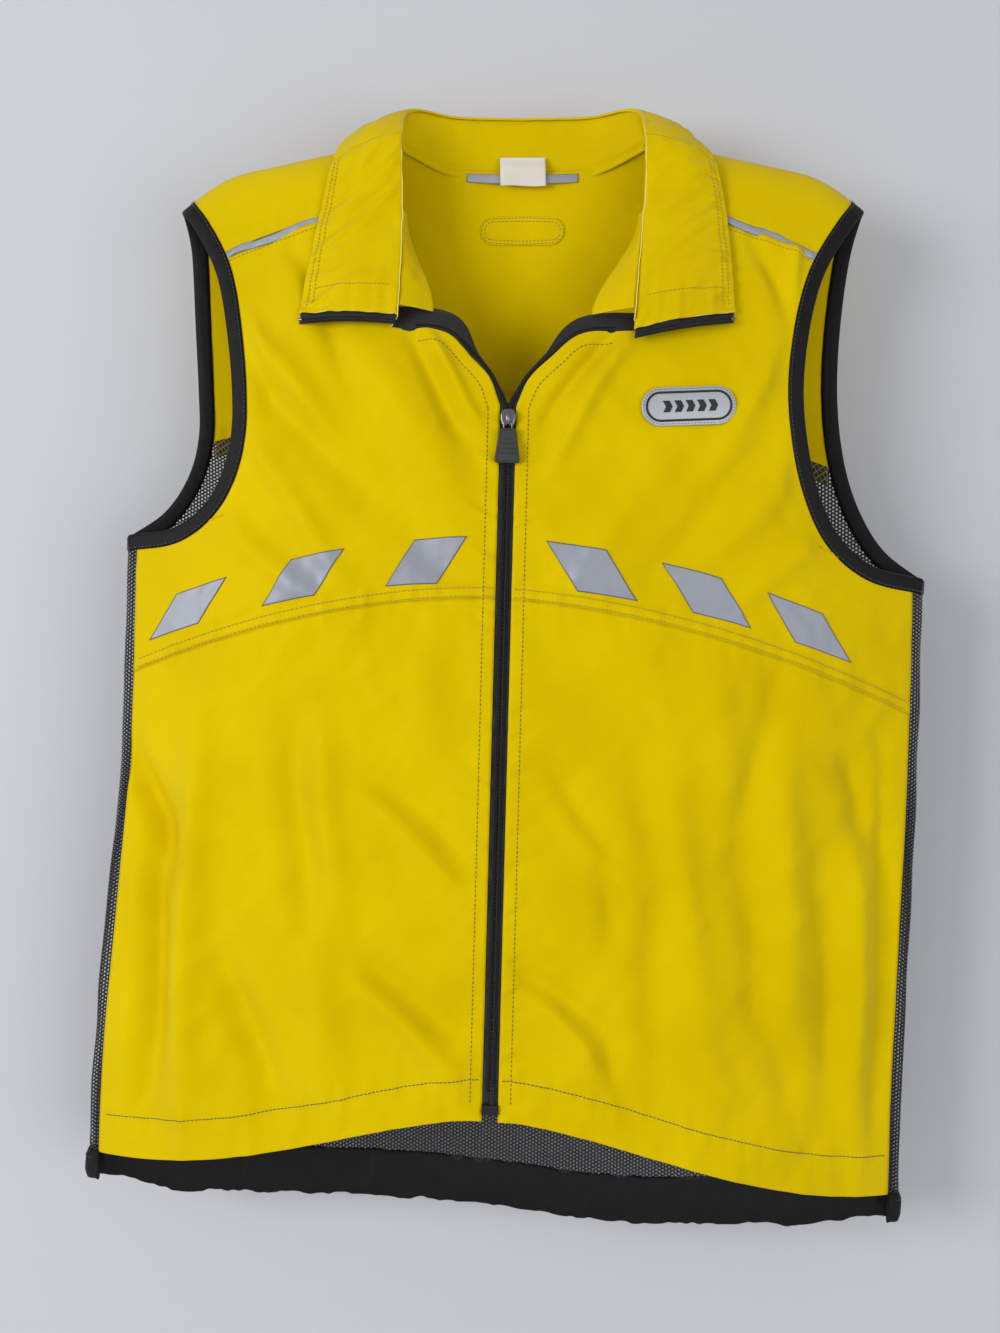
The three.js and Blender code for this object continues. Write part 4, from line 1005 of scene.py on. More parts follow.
def mesh_top(r):
    """Upper edge of the mesh: the back seam, then under the armhole."""
    t = np.linspace(0.2, 1, 400)
    curve = inset_curve(BACK_ARMHOLE, t, np.full(400, BINDING_WIDTH - 3.0))
    order = np.argsort(curve[:, 0])
    under = np.interp(r, curve[order, 0], curve[order, 1])
    foot = float(inset_curve(BACK_ARMHOLE, np.array([crossing(BACK_ARMHOLE, BINDING_WIDTH - 3, back_seam)]),
                             np.array([BINDING_WIDTH - 3.0]))[0, 0])
    return np.where(r <= foot, back_seam(r), np.minimum(under, back_seam(np.minimum(r, foot))))


MESH_REACH = 2 * FLANK + TURN - SIDE_SEAM


def ring_ways(columns):
    """Ways out from the middle of the back, closer together round the side's turn."""
    half = columns // 2
    out = np.concatenate([np.linspace(0, FLANK - 20, half - 40, endpoint=False),
                          np.linspace(FLANK - 20, MESH_REACH, 41)])
    return np.concatenate([-out[:0:-1], out])


def build_back_mesh():
    """Mesh back: below the yoke, under the arms and round both sides."""
    r = ring_ways(280)
    v = np.linspace(0, 1, 190)
    r_grid, v_grid = np.meshgrid(r, v, indexing="ij")
    sign, out = np.where(r_grid < 0, -1.0, 1.0), np.abs(r_grid)
    top = mesh_top(np.minimum(out, FLANK))
    z = mix(band_top(r_grid) - 2, top, v_grid)
    x = np.minimum(out, FLANK) * sign
    waves = 0.8 * noise(z / 34, r_grid / 40) * smooth(0, 20, z - band_top(r_grid)) * smooth(1, 0.9, v_grid)
    relief = back_relief(x, z) * smooth(FLANK + 4, FLANK - 30, out) + waves
    relief += pucker(r_grid, z - band_top(r_grid), 14, 1.2, 7)
    points = around(sign, out, z, relief * smooth(MESH_REACH, MESH_REACH - 8, out))
    piece = cloth_panel("back_mesh_cloth", points, finish("mesh"), np.stack([r_grid, z], -1), flip=True,
                        thick=0)
    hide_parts("back_mesh")


def build_hem_band():
    """Gathered hem band round an elastic: a flattened tube whose wall waves where the elastic draws it in."""
    r = ring_ways(420)
    sign, out = np.where(r < 0, -1.0, 1.0), np.abs(r)
    foot = band_top(r) - BACK_BAND_HEIGHT + 12 * smooth(200, FLANK, np.minimum(out, FLANK))
    foot = foot + 1.2 * noise(r / 11, r * 0 + 2) + 0.6 * noise(r / 4, r * 0 + 5)
    top = band_top(r) + 1.5 + 0.5 * noise(r / 6, r * 0 + 9)
    sides = 20
    share = np.arange(sides) / sides
    rows = []
    for n in range(sides):
        a = 2 * math.pi * share[n]
        level = 0.5 + 0.5 * math.copysign(abs(math.cos(a)) ** 0.8, math.cos(a))
        bulge = math.copysign(abs(math.sin(a)) ** 0.6, math.sin(a))
        gathers = sizes().gathers / MM * noise(r / 4.5, r * 0 + 3 * level)
        gathers = gathers + 0.7 * noise(r / 9, r * 0 + 7 + 2 * level)
        gathers = gathers * smooth(0, 0.25, level) * smooth(1, 0.7, level)
        h = bulge * 1.5 + gathers * (1.0 if bulge > 0 else -0.6)
        rows.append(around(sign, out, mix(foot, top, level), h))
    sections = np.stack(rows, 1)
    uv = np.stack(np.broadcast_arrays(r[:, None], share[None] * 64), -1)
    piece = tube("back_hem_band_cloth", sections, finish("taffeta"), uv=uv)
    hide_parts("back_hem_band", "hem_elastic")


def on_binding(sign, a, h, stations=260):
    """Points of the armhole binding, a into the cloth and h off it: down the front, under the arm and up
    the back."""
    t = np.arange(stations) / stations
    in_front = t < 0.5
    way = np.minimum(1, np.where(in_front, t * 2, 2 - t * 2))
    fore, aft = (inset_curve(curve, way, np.full(stations, a)) for curve in (FRONT_ARMHOLE, BACK_ARMHOLE))
    h = np.broadcast_to(np.float64(h), way.shape)
    points = np.where(in_front[:, None], cloth(-1, sign * fore[:, 0], fore[:, 1], h),
                      cloth(1, sign * aft[:, 0], aft[:, 1], h))
    tip = over(np.array([sign * (SHOULDER_HALF - a)]), np.array([0.0]), h[:1])
    foot = around(np.array([float(sign)]), np.array([FLANK + TURN / 2]), np.array([-ARMHOLE_DEPTH - a]),
                  h[:1])
    points[way < 0.004] = tip
    points[way > 0.996] = foot
    return points


def build_bindings():
    """Armhole bindings: a folded tape wrapped over the edge, slightly puckered by its stitching."""
    profile = [(9.9, 0.75), (7.5, 1.15), (4.0, 1.25), (1.2, 1.15), (0.0, 0.6), (-0.35, 0.0), (0.0, -0.6),
               (1.2, -1.15), (4.0, -1.25), (7.5, -1.15), (9.9, -0.75)]
    stations = 320
    way = np.arange(stations) * 1.9
    for name, sign in SIDES:
        rows = []
        for a, h in profile:
            ripple = 0.32 * noise(way / 5, way * 0 + 40 + a / 6 + 9 * sign)
            ripple = ripple * smooth(-0.5, 2.5, a) * np.sign(h)
            rows.append(on_binding(sign, a, h + ripple, stations))
        sections = np.stack(rows, 1)
        uv = np.stack(np.broadcast_arrays(way[:, None], np.array([p[0] for p in profile])[None]), -1)
        piece = tube(f"armhole_binding_cloth_{name}", sections, finish("taffeta"),
                     closed=True, uv=uv)
        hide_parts(f"armhole_binding_{name}")
        row = upright(lambda level: on_binding(sign, 8.4, level, stations), 1.25)
        stitches(f"armhole_stitches_{name}", [row], finish("black_thread"))


def build_pipings():
    """Reflective piping along each forward shoulder seam: a flat cord that snakes where it is gathered."""
    u, v = grid(110, 6)
    for name, sign in SIDES:
        t_top = crossing(FRONT_ARMHOLE, BINDING_WIDTH, piping_seam)
        end = float(inset_curve(FRONT_ARMHOLE, np.array([t_top]), np.array([BINDING_WIDTH - 0.2]))[0, 0])
        x = mix(NECK_HALF, end, u)
        snake = 1.2 * noise(x / 13, x * 0 + 20 + sign) + 0.5 * np.sin(x / 5.1 + sign)
        width = PIPING_WIDTH + 1.0 + 0.8 * noise(x / 8, x * 0 + 4)
        z = piping_seam(x) - PIPING_WIDTH / 2 + snake + (v - 0.5) * width
        h = 0.5 + 0.9 * np.sqrt(np.maximum(0, 1 - (2 * v - 1) ** 2)) + pucker(x, 0 * x, 5, 0.5)
        h = mix(h, 0.35, smooth(end - 5, end - 1, x))
        points = cloth(-1, sign * x, z, h)
        piece = cloth_panel(f"shoulder_piping_cord_{name}", points, finish("braid"),
                            np.stack([sign * x, z], -1), flip=sign < 0, thick=0.8)
        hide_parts(f"shoulder_piping_{name}")


def build_reflectors():
    """Reflective patches along the arc seam in front and along the yoke seam behind."""
    u, v = grid(26, 24)
    for name, sign in SIDES:
        starts = (45, 115, 179) if sign > 0 else (43, 127, 208)
        for n, start in enumerate(starts):
            foot = start + REFLECTOR_WIDTH * u * 0.86
            x = sign * (foot - REFLECTOR_LEAN * 1.15 * v)
            z = arc_seam(foot) + 8.6 + foot * 0.03 + REFLECTOR_HEIGHT * 0.76 * v
            points = cloth(-1, x, z, 0.7 + front_relief(x, z) + 0.12 * noise(x / 6, z / 6))
            piece = cloth_panel(f"reflector_film_front_{name}_{n + 1}", points, finish("film"),
                                np.stack([u, v], -1) / MM, flip=sign < 0, thick=0.35)
            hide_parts(f"reflector_front_{name}_{n + 1}")
        for n, start in enumerate((10, 80, 150)):
            foot = start + REFLECTOR_WIDTH * u * 0.86
            x = sign * (foot + REFLECTOR_LEAN * v)
            z = back_seam(foot) + 9.5 + REFLECTOR_HEIGHT * 0.76 * v
            points = cloth(1, x, z, 0.7 + back_relief(x, z))
            piece = cloth_panel(f"reflector_film_back_{name}_{n + 1}", points, finish("film"),
                                np.stack([u, v], -1) / MM, flip=sign > 0, thick=0.35)
            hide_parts(f"reflector_back_{name}_{n + 1}")


# ---- collar ----
def collar_curves(sign):
    """Neckline, fold and outer edge of the collar, from the middle of the back to its front corner."""
    def behind(x, y, z):
        return np.array([sign * x, y, z], float)

    def body(side, x, z, h=0.0):
        return cloth(side, np.float64(x), np.float64(z), np.float64(h))

    def cap(x, s, h=0.0):
        return over(np.float64(x), np.float64(s), np.float64(h))
    lift = 3.4
    neck = NECK_HALF
    neckline = [body(1, 0, 0), body(1, sign * 45, back_neck(45.0)), cap(sign * neck, 4),
                cap(sign * neck, -16), body(-1, sign * (neck - 0.02), -34), body(-1, sign * (neck - 1), -76),
                body(-1, sign * (neck - 2), -NECK_DROP)]
    fold = [behind(0, 3, COLLAR_STAND), behind(45, 2, COLLAR_STAND + 1), behind(neck - 8, -15, COLLAR_STAND),
            behind(neck - 3, -43, 10), body(-1, sign * (neck - 4), -30, FOLD_STANDOFF),
            body(-1, sign * (neck - 6), -70, FOLD_STANDOFF),
            body(-1, sign * (neck - 7), -NECK_DROP + 5, FOLD_STANDOFF)]
    outer = [behind(0, 14, COLLAR_STAND - COLLAR_FALL), behind(58, 13, COLLAR_STAND - COLLAR_FALL + 3),
             cap(sign * 110, 4, lift + 4), body(-1, sign * 121, -9, lift + 3),
             body(-1, sign * (neck + 48), -36, lift), body(-1, sign * (neck + 53), -74, lift),
             body(-1, sign * (neck - 3 + WING_WIDTH), -WING_TIP, lift)]
    return np.array(neckline), np.array(fold), np.array(outer)


COLLAR = {sign: collar_curves(sign) for _, sign in SIDES}


def collar_surface(sign, inner, outer, t, b, h, bulge=0.0):
    """Ruled from the inner to the outer curve, bulging as half a sine across; t past 1 runs straight on."""
    def mid(tt, bb):
        inside = np.clip(np.abs(tt), 0, 1)
        p = mix(spline(inner, inside), spline(outer, inside), bb[..., None])
        p = np.where((tt < 0)[..., None], p * np.array([-1.0, 1, 1]), p)
        back_p = mix(spline(inner, inside * 0 + 0.97), spline(outer, inside * 0 + 0.97), bb[..., None])
        return np.where((tt > 1)[..., None], p + unit(p - back_p) * ((tt - 1) * 100)[..., None], p)
    t, b, h = np.broadcast_arrays(*(np.asarray(v, float) for v in (t, b, h)))
    tt = np.minimum(t, 1)
    du = mid(tt - 0.0, b) - mid(tt - 0.012, b)
    dv = mid(t, b + 0.01) - mid(t, b - 0.01)
    normal = unit(np.cross(du, dv)) * sign
    return mid(t, b) + normal * (h + bulge * np.sin(math.pi * b))[..., None], normal


def collar_relief(sign, t, b):
    """Bias creases of the folded-down collar, and puckers at its stitched edges."""
    way, across = t * 330, b * 58
    a, c = way * 0.7 + sign * across * 0.72, across * 0.7 - sign * way * 0.72
    height = 1.9 * (0.45 - np.abs(noise(a / 13 + 3 * sign, c / 46 + 11))) + 0.9 * noise(a / 6.5, c / 24 + 5)
    height += 0.4 * noise(a / 3.2, c / 14 + 2)
    height += pucker(way, (1 - b) * 58 - 5, 7, 0.8, 4) + pucker(across, (1 - t) * 200 - 10, 9, 0.8, 4)
    return height * smooth(0, 0.12, b) * smooth(0.0, 0.05, 1.03 - b)


# the wearer's left wing lies askew: its inner corner hangs lower and its tip is turned up
WING_SAG, WING_RISE = 7.0, 4.5


def wing(sign, t, b, h):
    """Turned-down part of the collar: wings in front, fall behind."""
    _, fold, outer = COLLAR[sign]
    points, normal = collar_surface(sign, fold, outer, t, b, h, 4.0)
    if sign > 0:
        points[..., 2] -= mix(WING_SAG, -WING_RISE, b) * smooth(0.7, 1.0, t)
    return points, normal


def turned_down(sign, t, b):
    """Grid of the turned-down part with its roll: b below 0 curls under the fold as a half circle."""
    roll = np.clip(-b, 0, 1) * math.pi
    flat_b = np.maximum(b, 0) * 0.97 + 0.03
    shift = collar_relief(sign, t, flat_b) * (b > 0) + 0.4
    points, normal = wing(sign, t, flat_b, shift)
    ahead, _ = wing(sign, t, flat_b + 0.02, shift)
    toward = unit(ahead - points)
    radius = 1.5
    return (points - toward * (radius * np.sin(roll))[..., None] * 1.1
            - normal * (radius * (1 - np.cos(roll)))[..., None])


WING_START = 0.5


def build_collar():
    """Collar stand, the fall behind and the two wings, which bend up from the shoulders."""
    rows = np.concatenate([np.linspace(-1, 0, 9)[:-1], np.linspace(0, 1, 70)])
    t = np.linspace(-WING_START, WING_START, 181)
    t_grid, b_grid = np.meshgrid(t, rows, indexing="ij")
    right, left = turned_down(-1, np.abs(t_grid), b_grid), turned_down(1, np.abs(t_grid), b_grid)
    blend_in = smooth(-0.02, 0.02, t_grid)[..., None]
    fall = right * (1 - blend_in) + left * blend_in
    piece = cloth_panel("collar_fall_cloth", fall, finish("nylon"),
                        np.stack([t_grid * 330, b_grid * 42], -1), edge=finish("edge"), thick=0.9)
    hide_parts("collar_back_fall")
    stand_t = np.linspace(-1, 1, 361)
    s_grid, v_grid = np.meshgrid(stand_t, np.linspace(-0.14, 0.99, 28), indexing="ij")
    parts = []
    for sign in (-1, 1):
        neckline, fold, _ = COLLAR[sign]
        stand, _ = collar_surface(sign, neckline, fold, np.abs(s_grid), v_grid,
                                  0.5 * noise(s_grid * 30, v_grid * 3) - 0.8 * smooth(0.8, 1, v_grid)
                                  - 1.2 * smooth(0.12, -0.02, v_grid))
        parts.append(stand)
    blend_in = smooth(-0.01, 0.01, s_grid)[..., None]
    stand = parts[0] * (1 - blend_in) + parts[1] * blend_in
    piece = cloth_panel("collar_stand_cloth", stand, finish("nylon"),
                        np.stack([s_grid * 200, v_grid * 36], -1), flip=True, edge=finish("edge"), thick=0.6)
    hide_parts("collar_stand")
    for name, sign in SIDES:
        t = np.linspace(WING_START, 1.0, 110)
        t_grid, b_grid = np.meshgrid(t, rows, indexing="ij")
        points = turned_down(sign, t_grid, b_grid)
        piece = cloth_panel(f"collar_wing_cloth_{name}", points, finish("nylon"),
                            np.stack([t_grid * 330 * sign, b_grid * 58], -1), flip=sign < 0,
                            edge=finish("edge"), thick=0.9, body=None)
        top, _ = wing(sign, np.float64(WING_START), np.float64(0.03), np.float64(0))
        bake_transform(piece)
        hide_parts(f"collar_wing_{name}")
        build_collar_trim(name, sign)


def wing_rows(sign, t, b, h=0.55):
    """A stitch line on the turned-down part."""
    b = b * 0.97 + 0.03
    return wing(sign, t, b, collar_relief(sign, t, b) + h)


def build_collar_trim(name, sign):
    """Zip tape with its coil under a wing's end, the top stop and the edge stitching."""
    body = f"collar_{name}"
    u, v = grid(60, 8)
    t, b = mix(0.955, 1.062, v), mix(0.02, 0.985, u)
    points, _ = wing(sign, t, b, -1.7 + collar_relief(sign, t, b) * smooth(1.04, 0.99, t))
    piece = cloth_panel(f"collar_tape_twill_{name}", points, finish("tape"), np.stack([u * 58, v * 12], -1),
                        flip=sign > 0, thick=0.6, body=body)
    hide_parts(f"collar_tape_{name}")
    b = np.linspace(0.04, 0.93, 52)
    seat, normal = wing(sign, np.full(52, 1.05), b, np.full(52, -0.1))
    piece = coil_teeth(f"collar_coil_teeth_{name}", seat, normal, body, half=1.3)
    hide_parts(f"collar_coil_{name}")
    stop, stop_normal = wing(sign, np.full(8, 1.043), np.linspace(0.945, 0.985, 8), np.full(8, 0.1))
    piece = round_cord(f"top_stop_{name}", stop, 1.15, finish("metal"), body, 10)
    soften(piece, 0.3)
    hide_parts(f"zip_top_stop_{name}")
    t = np.linspace(WING_START + 0.02, 0.985, 150)
    rows = [wing_rows(sign, t, np.full(150, share)) for share in (0.87, 0.93)]
    b = np.linspace(0.08, 0.9, 80)
    rows.append(wing_rows(sign, np.full(80, 0.925), b))
    stitches(f"collar_stitches_{name}", rows, finish("yellow_thread"), body, pitch=2.6, length=1.9)


def soften(obj, width):
    """Rounds an object's edges by width millimetres."""
    bevel = obj.modifiers.new("rounding", "BEVEL")
    bevel.width, bevel.segments, bevel.limit_method = width * MM, 2, "ANGLE"


def build_revers():
    """Inner side of the collar that shows between each fold and the opening, turned out by the wing."""
    u, v = grid(24, 50)
    for name, sign in SIDES:
        fold = COLLAR[sign][1]
        t = mix(0.72, 0.975, v)
        edge = spline(fold, t)
        reach = (2.0 + (19.0 if sign < 0 else 24.0) * smooth(0, 1, v) ** 1.3)
        edge = edge + np.array([0, 1.6, 0])
        inward = np.stack([-sign * reach * u, 3.5 * u + 5.5 * u * u, -2.5 * u * v], -1)
        points = edge + inward + (0.5 * noise(u * 3 + sign, v * 9))[..., None] * np.array([0, 1.0, 0])
        piece = cloth_panel(f"collar_revers_cloth_{name}", points, finish("nylon"),
                            np.stack([sign * reach * u, v * 60], -1), flip=sign > 0, thick=0.5,
                            edge=finish("edge"))


# ---- zip ----
def coil_teeth(name, seat, normal, body, half=1.5, pitch=1.05, slant=0.0):
    """Coil of a zip: one flattened bead for each turn of the monofilament, square to the line."""
    way = lengths(seat)
    centre = np.arange(pitch / 2, way[-1], pitch)
    p = np.stack([np.interp(centre, way, seat[:, k]) for k in range(3)], -1)
    n = unit(np.stack([np.interp(centre, way, normal[:, k]) for k in range(3)], -1))
    d = unit(np.gradient(p, axis=0))
    side = np.cross(d, n)
    share = np.array([-1.0, -0.72, 0.72, 1.0])
    rise = np.array([0.0, 0.62, 0.62, 0.0])
    wide = np.array([0.55, 1, 1, 0.55]) * pitch * 0.44
    angle = np.arange(6) * math.pi / 3
    axis = p[:, None] + side[:, None] * (share * half)[None, :, None] + n[:, None] * rise[None, :, None]
    axis = axis + d[:, None] * (share * slant)[None, :, None]
    rings = axis[:, :, None] + wide[None, :, None, None] * (
        np.cos(angle)[None, None, :, None] * d[:, None, None]
        + 1.2 * np.sin(angle)[None, None, :, None] * n[:, None, None])
    obj = add_piece(name, rings, bead_faces(len(rings)), finish("coil"), body, None)
    outward(obj.data)
    return obj


def build_zip():
    """Zip tapes, closed up to the slider and parted above it, where each tape turns over as it widens to
    the collar's corner; one coil up each tape's edge."""
    for name, sign in SIDES:
        u, v = grid(320, 6)
        t = mix(0.0, 1.025, u)
        p = zip_edge(t)
        ahead = zip_edge(t + 0.004) - zip_edge(np.maximum(t - 0.004, 0.0))
        d = unit(ahead)
        inward = np.stack([d[..., 1], -d[..., 0]], -1)
        parted = smooth(0.76, 1.0, t)
        waist = 1 - 0.35 * smooth(0.76, 0.8, t) * (1 - smooth(0.86, 0.95, t))
        reach = mix(4.9, 15.5 if sign < 0 else 13.0, smooth(0.82, 0.985, t)) * waist
        a = mix(-reach, 6.5, v)
        q = p + inward * a[..., None]
        lay = -0.9 - 2.2 * parted * smooth(0.5, 0, v) + 0.15 * noise(u * 90, v * 2 + sign)
        under = np.minimum(front_relief(sign * q[..., 0], q[..., 1]), 0.6) * smooth(-0.5, 1.5, a)
        points = cloth(-1, sign * q[..., 0], q[..., 1], lay + under - 0.5 * smooth(-0.5, 1.5, a))
        piece = cloth_panel(f"zip_tape_twill_{name}", points, finish("tape"),
                            np.stack([u * 560, a], -1), flip=sign < 0, thick=0.5)
        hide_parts(f"zip_tape_{name}")
        t = np.linspace(0.012, 0.975, 700)
        p = zip_edge(t)
        ahead = unit(zip_edge(np.minimum(t + 0.004, 1.0)) - zip_edge(np.maximum(t - 0.004, 0.0)))
        inward = np.stack([ahead[:, 1], -ahead[:, 0]], -1)
        closed_in, parted_in = -3.35, -1.6
        q = p + inward * mix(closed_in, parted_in, smooth(0.75, 0.8, t))[:, None]
        seat, normal = upright(lambda h: cloth(-1, sign * q[:, 0], q[:, 1], h - 0.6 * smooth(0.76, 0.85, t)),
                               -0.3)
        piece = coil_teeth(f"zip_coil_teeth_{name}", seat, normal, "root", half=1.55)
        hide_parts(f"zip_coil_{name}")


ZIP_LEAN = math.atan(LEAN)
FRONT_Y = HANG_PLANE - FRONT_DEPTH
SLIDER_Z = -SLIDER_DROP - 8


def in_zip_frame(points, z):
    """Points of the hardware's own frame, placed on the zip's line at height z and turned to lean with it."""
    c, s = math.cos(ZIP_LEAN), math.sin(ZIP_LEAN)
    place = hang(np.float64(0), np.float64(FRONT_Y), np.float64(z))
    turned = np.stack([points[..., 0] * c + points[..., 2] * s, points[..., 1],
                       points[..., 2] * c - points[..., 0] * s], -1)
    return turned + place


def pillow(outline, near, far, rounding, layers=5):
    """A plate from an outline of (x, z): stacked copies that shrink in a quarter circle to both faces."""
    outline = np.asarray(outline, float)
    centre = outline.mean(0)
    radius = np.linalg.norm(outline - centre, axis=1, keepdims=True)
    rings = []
    quarter = np.linspace(0, math.pi / 2, layers)
    for y, angles, inward in ((near, quarter, 1), (far, quarter[::-1], -1)):
        for a in angles:
            ring = centre + (outline - centre) * (1 - rounding * (1 - math.sin(a)) / radius)
            level = y + inward * rounding * (1 - math.cos(a))
            rings.append(np.stack([ring[:, 0], np.full(len(ring), level), ring[:, 1]], -1))
    return np.array(rings)


def rounded_outline(points, count=60):
    """A closed outline through points, evenly spaced, softened by averaging neighbours."""
    p = np.vstack([points, points[:1]])
    q = along(p, np.linspace(0, 1, count, endpoint=False))
    for _ in range(2):
        q = (np.roll(q, 1, 0) + 2 * q + np.roll(q, -1, 0)) / 4
    return q


def build_slider():
    """Slider body with its bridge, the wire and the moulded pull."""
    plate = rounded_outline([(-3.3, -5.2), (3.3, -5.2), (4.9, -1), (4.9, 2.5), (2.8, 5.6), (-2.8, 5.6),
                             (-4.9, 2.5), (-4.9, -1)])
    face = pillow(plate, -4.6, -1.4, 1.1)
    body = tube("slider_plate", in_zip_frame(face, SLIDER_Z), finish("metal"), "slider")
    rear = pillow(plate * 0.88, 0.9, 2.4, 0.5)
    tube("slider_back_plate", in_zip_frame(rear, SLIDER_Z), finish("metal"), "slider")
    post = pillow(rounded_outline([(-0.6, 1), (0.6, 1), (0.6, 4.2), (-0.6, 4.2)], 16), -2, 1.6, 0.1)
    tube("slider_post", in_zip_frame(post, SLIDER_Z), finish("metal"), "slider")
    angle = np.linspace(0, math.pi, 24)
    arch = np.stack([0 * angle, -4.2 - 2.3 * np.sin(angle) ** 0.7, 4.3 * np.cos(angle)], -1)
    radius = 1.15 - 0.25 * np.abs(np.cos(angle))
    path = in_zip_frame(arch, SLIDER_Z)
    across, rise = frames(path, np.broadcast_to(np.array([1.0, 0, 0]), path.shape))
    turn = np.arange(12) * math.pi / 6
    sections = path[:, None] + radius[:, None, None] * (np.cos(turn)[None, :, None] * across[:, None] * 0.6
                                                        + np.sin(turn)[None, :, None] * rise[:, None] * 1.25)
    tube("slider_bridge", sections, finish("metal"), "slider")
    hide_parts("zip_slider_body")
    pivot_y, pivot_z = -3.7 - 1.0, -2.1
    wire = np.array([(-2.2, pivot_z), (2.2, pivot_z), (2.5, pivot_z - 1), (2.5, -7.2), (-2.5, -7.2),
                     (-2.5, pivot_z - 1)])
    loop = rounded_outline(wire, 48)
    path = in_zip_frame(np.stack([loop[:, 0], np.full(48, pivot_y), loop[:, 1]], -1), SLIDER_Z)
    piece = round_cord("pull_wire", path, 0.5, finish("metal"), "pull", closed=True)
    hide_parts("zip_pull_wire")
    tab = rounded_outline([(-4.2, -6.3), (4.2, -6.3), (5.2, -8), (8.0, -26.2), (7.2, -28), (-7.2, -28),
                           (-8.0, -26.2), (-5.2, -8)], 96)
    rings = in_zip_frame(pillow(tab, pivot_y - 0.8, pivot_y + 1.5, 0.7), SLIDER_Z)
    piece = tube("pull_tab", rings, finish("rubber"), "pull")
    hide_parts("zip_pull_tab")
    centre = tab.mean(0)
    rim = centre + (tab - centre) * np.array([0.84, 0.9])
    path = in_zip_frame(np.stack([rim[:, 0], np.full(len(rim), pivot_y - 0.8), rim[:, 1]], -1), SLIDER_Z)
    round_cord("pull_tab_rim", path, 0.42, finish("rubber"), "pull", closed=True)
    lines = []
    for z in (-13, -16, -19, -22):
        width = 3.0 + (-z - 13) * 0.22
        bar = np.stack([np.linspace(-width, width, 8), np.full(8, pivot_y - 0.85), np.full(8, float(z))], -1)
        lines.append(in_zip_frame(bar, SLIDER_Z))
    for n, line in enumerate(lines):
        round_cord(f"pull_tab_rib_{n + 1}", line, 0.4, finish("rubber"), "pull")
    for cad in ("zip_retainer_box", "zip_insertion_pin"):
        held = frame["nodes"][cad]
        held.data.materials.clear()
        held.data.materials.append(finish("coil"))


# ---- small sewn pieces ----
def build_neck_pieces():
    """Hang loop, blank label in front of it and the oval patch sewn below, all inside the back neck."""
    u, v = grid(60, 6)
    across = mix(-37.0, 37.0, u)
    bow = np.sin(math.pi * u)
    seam = cloth(1, across, -3.5 + 0 * across, -0.7)
    y = seam[..., 1] - 3.4 * bow
    z = -1.5 - 3.0 - 2 * bow + mix(-3, 3, v)
    points = np.stack([across, y - 0.3 * np.sin(math.pi * v), z], -1)
    piece = cloth_panel("hang_loop_tape", points, finish("braid"), np.stack([across, v * 6], -1), thick=0.7)
    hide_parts("hang_loop")
    u, v = grid(30, 40)
    x = mix(-15.0, 15.0, u)
    drop = 20 * v
    y = -1.9 - 3.4 * smooth(0, 0.45, v) - 1.2 * v + 0.5 * np.sin(math.pi * u) * v + 0.35 * noise(u * 3, v * 3)
    points = np.stack([x + 0.3 * v, y, 8.4 - drop + 0.4 * np.sin(2 * math.pi * u) * v], -1)
    piece = cloth_panel("care_label_satin", points, finish("label"), np.stack([x, drop], -1), thick=0.4,
                        body="label")
    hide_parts("care_label")
    u, v = grid(70, 26)
    flat_x = mix(-28.0, 28.0, u)
    rise = np.sqrt(np.maximum(0.5, 9.5 ** 2 - np.maximum(0, np.abs(flat_x) - 18.5) ** 2))
    z = -39.5 + mix(-1, 1, v) * rise
    points = cloth(1, flat_x, z, back_relief(flat_x, z) - 0.9)
    piece = cloth_panel("neck_patch_cloth", points, finish("nylon"), np.stack([flat_x, z], -1), flip=False,
                        thick=0.3, edge=finish("nylon"))
    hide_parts("neck_patch")
    rows = []
    for inset in (0.9, 3.0):
        angle = np.linspace(0, 2 * math.pi, 160)
        radius = 9.5 - inset
        ring = np.stack([np.clip(np.cos(angle) * 40, -18.5, 18.5) + radius * np.cos(angle),
                         -39.5 + radius * np.sin(angle)], -1)
        rows.append(upright(lambda h: back(ring[:, 0], ring[:, 1], h), -1.0, -1.0))
    stitches("neck_patch_stitches", rows, finish("yellow_thread"), pitch=2.5, length=1.7,
             thick=0.3)


BADGE_TURN = math.radians(3)


def stadium(width, height, count=96):
    """Outline of a stadium: two half circles joined by straight sides."""
    radius, straight = height / 2, (width - height) / 2
    quarter = np.linspace(-math.pi / 2, math.pi / 2, count // 2)
    right = np.stack([straight + radius * np.cos(quarter), radius * np.sin(quarter)], -1)
    left = np.stack([-straight - radius * np.cos(quarter), -radius * np.sin(quarter)], -1)
    return along(np.vstack([right, left, right[:1]]), np.linspace(0, 1, count, endpoint=False))


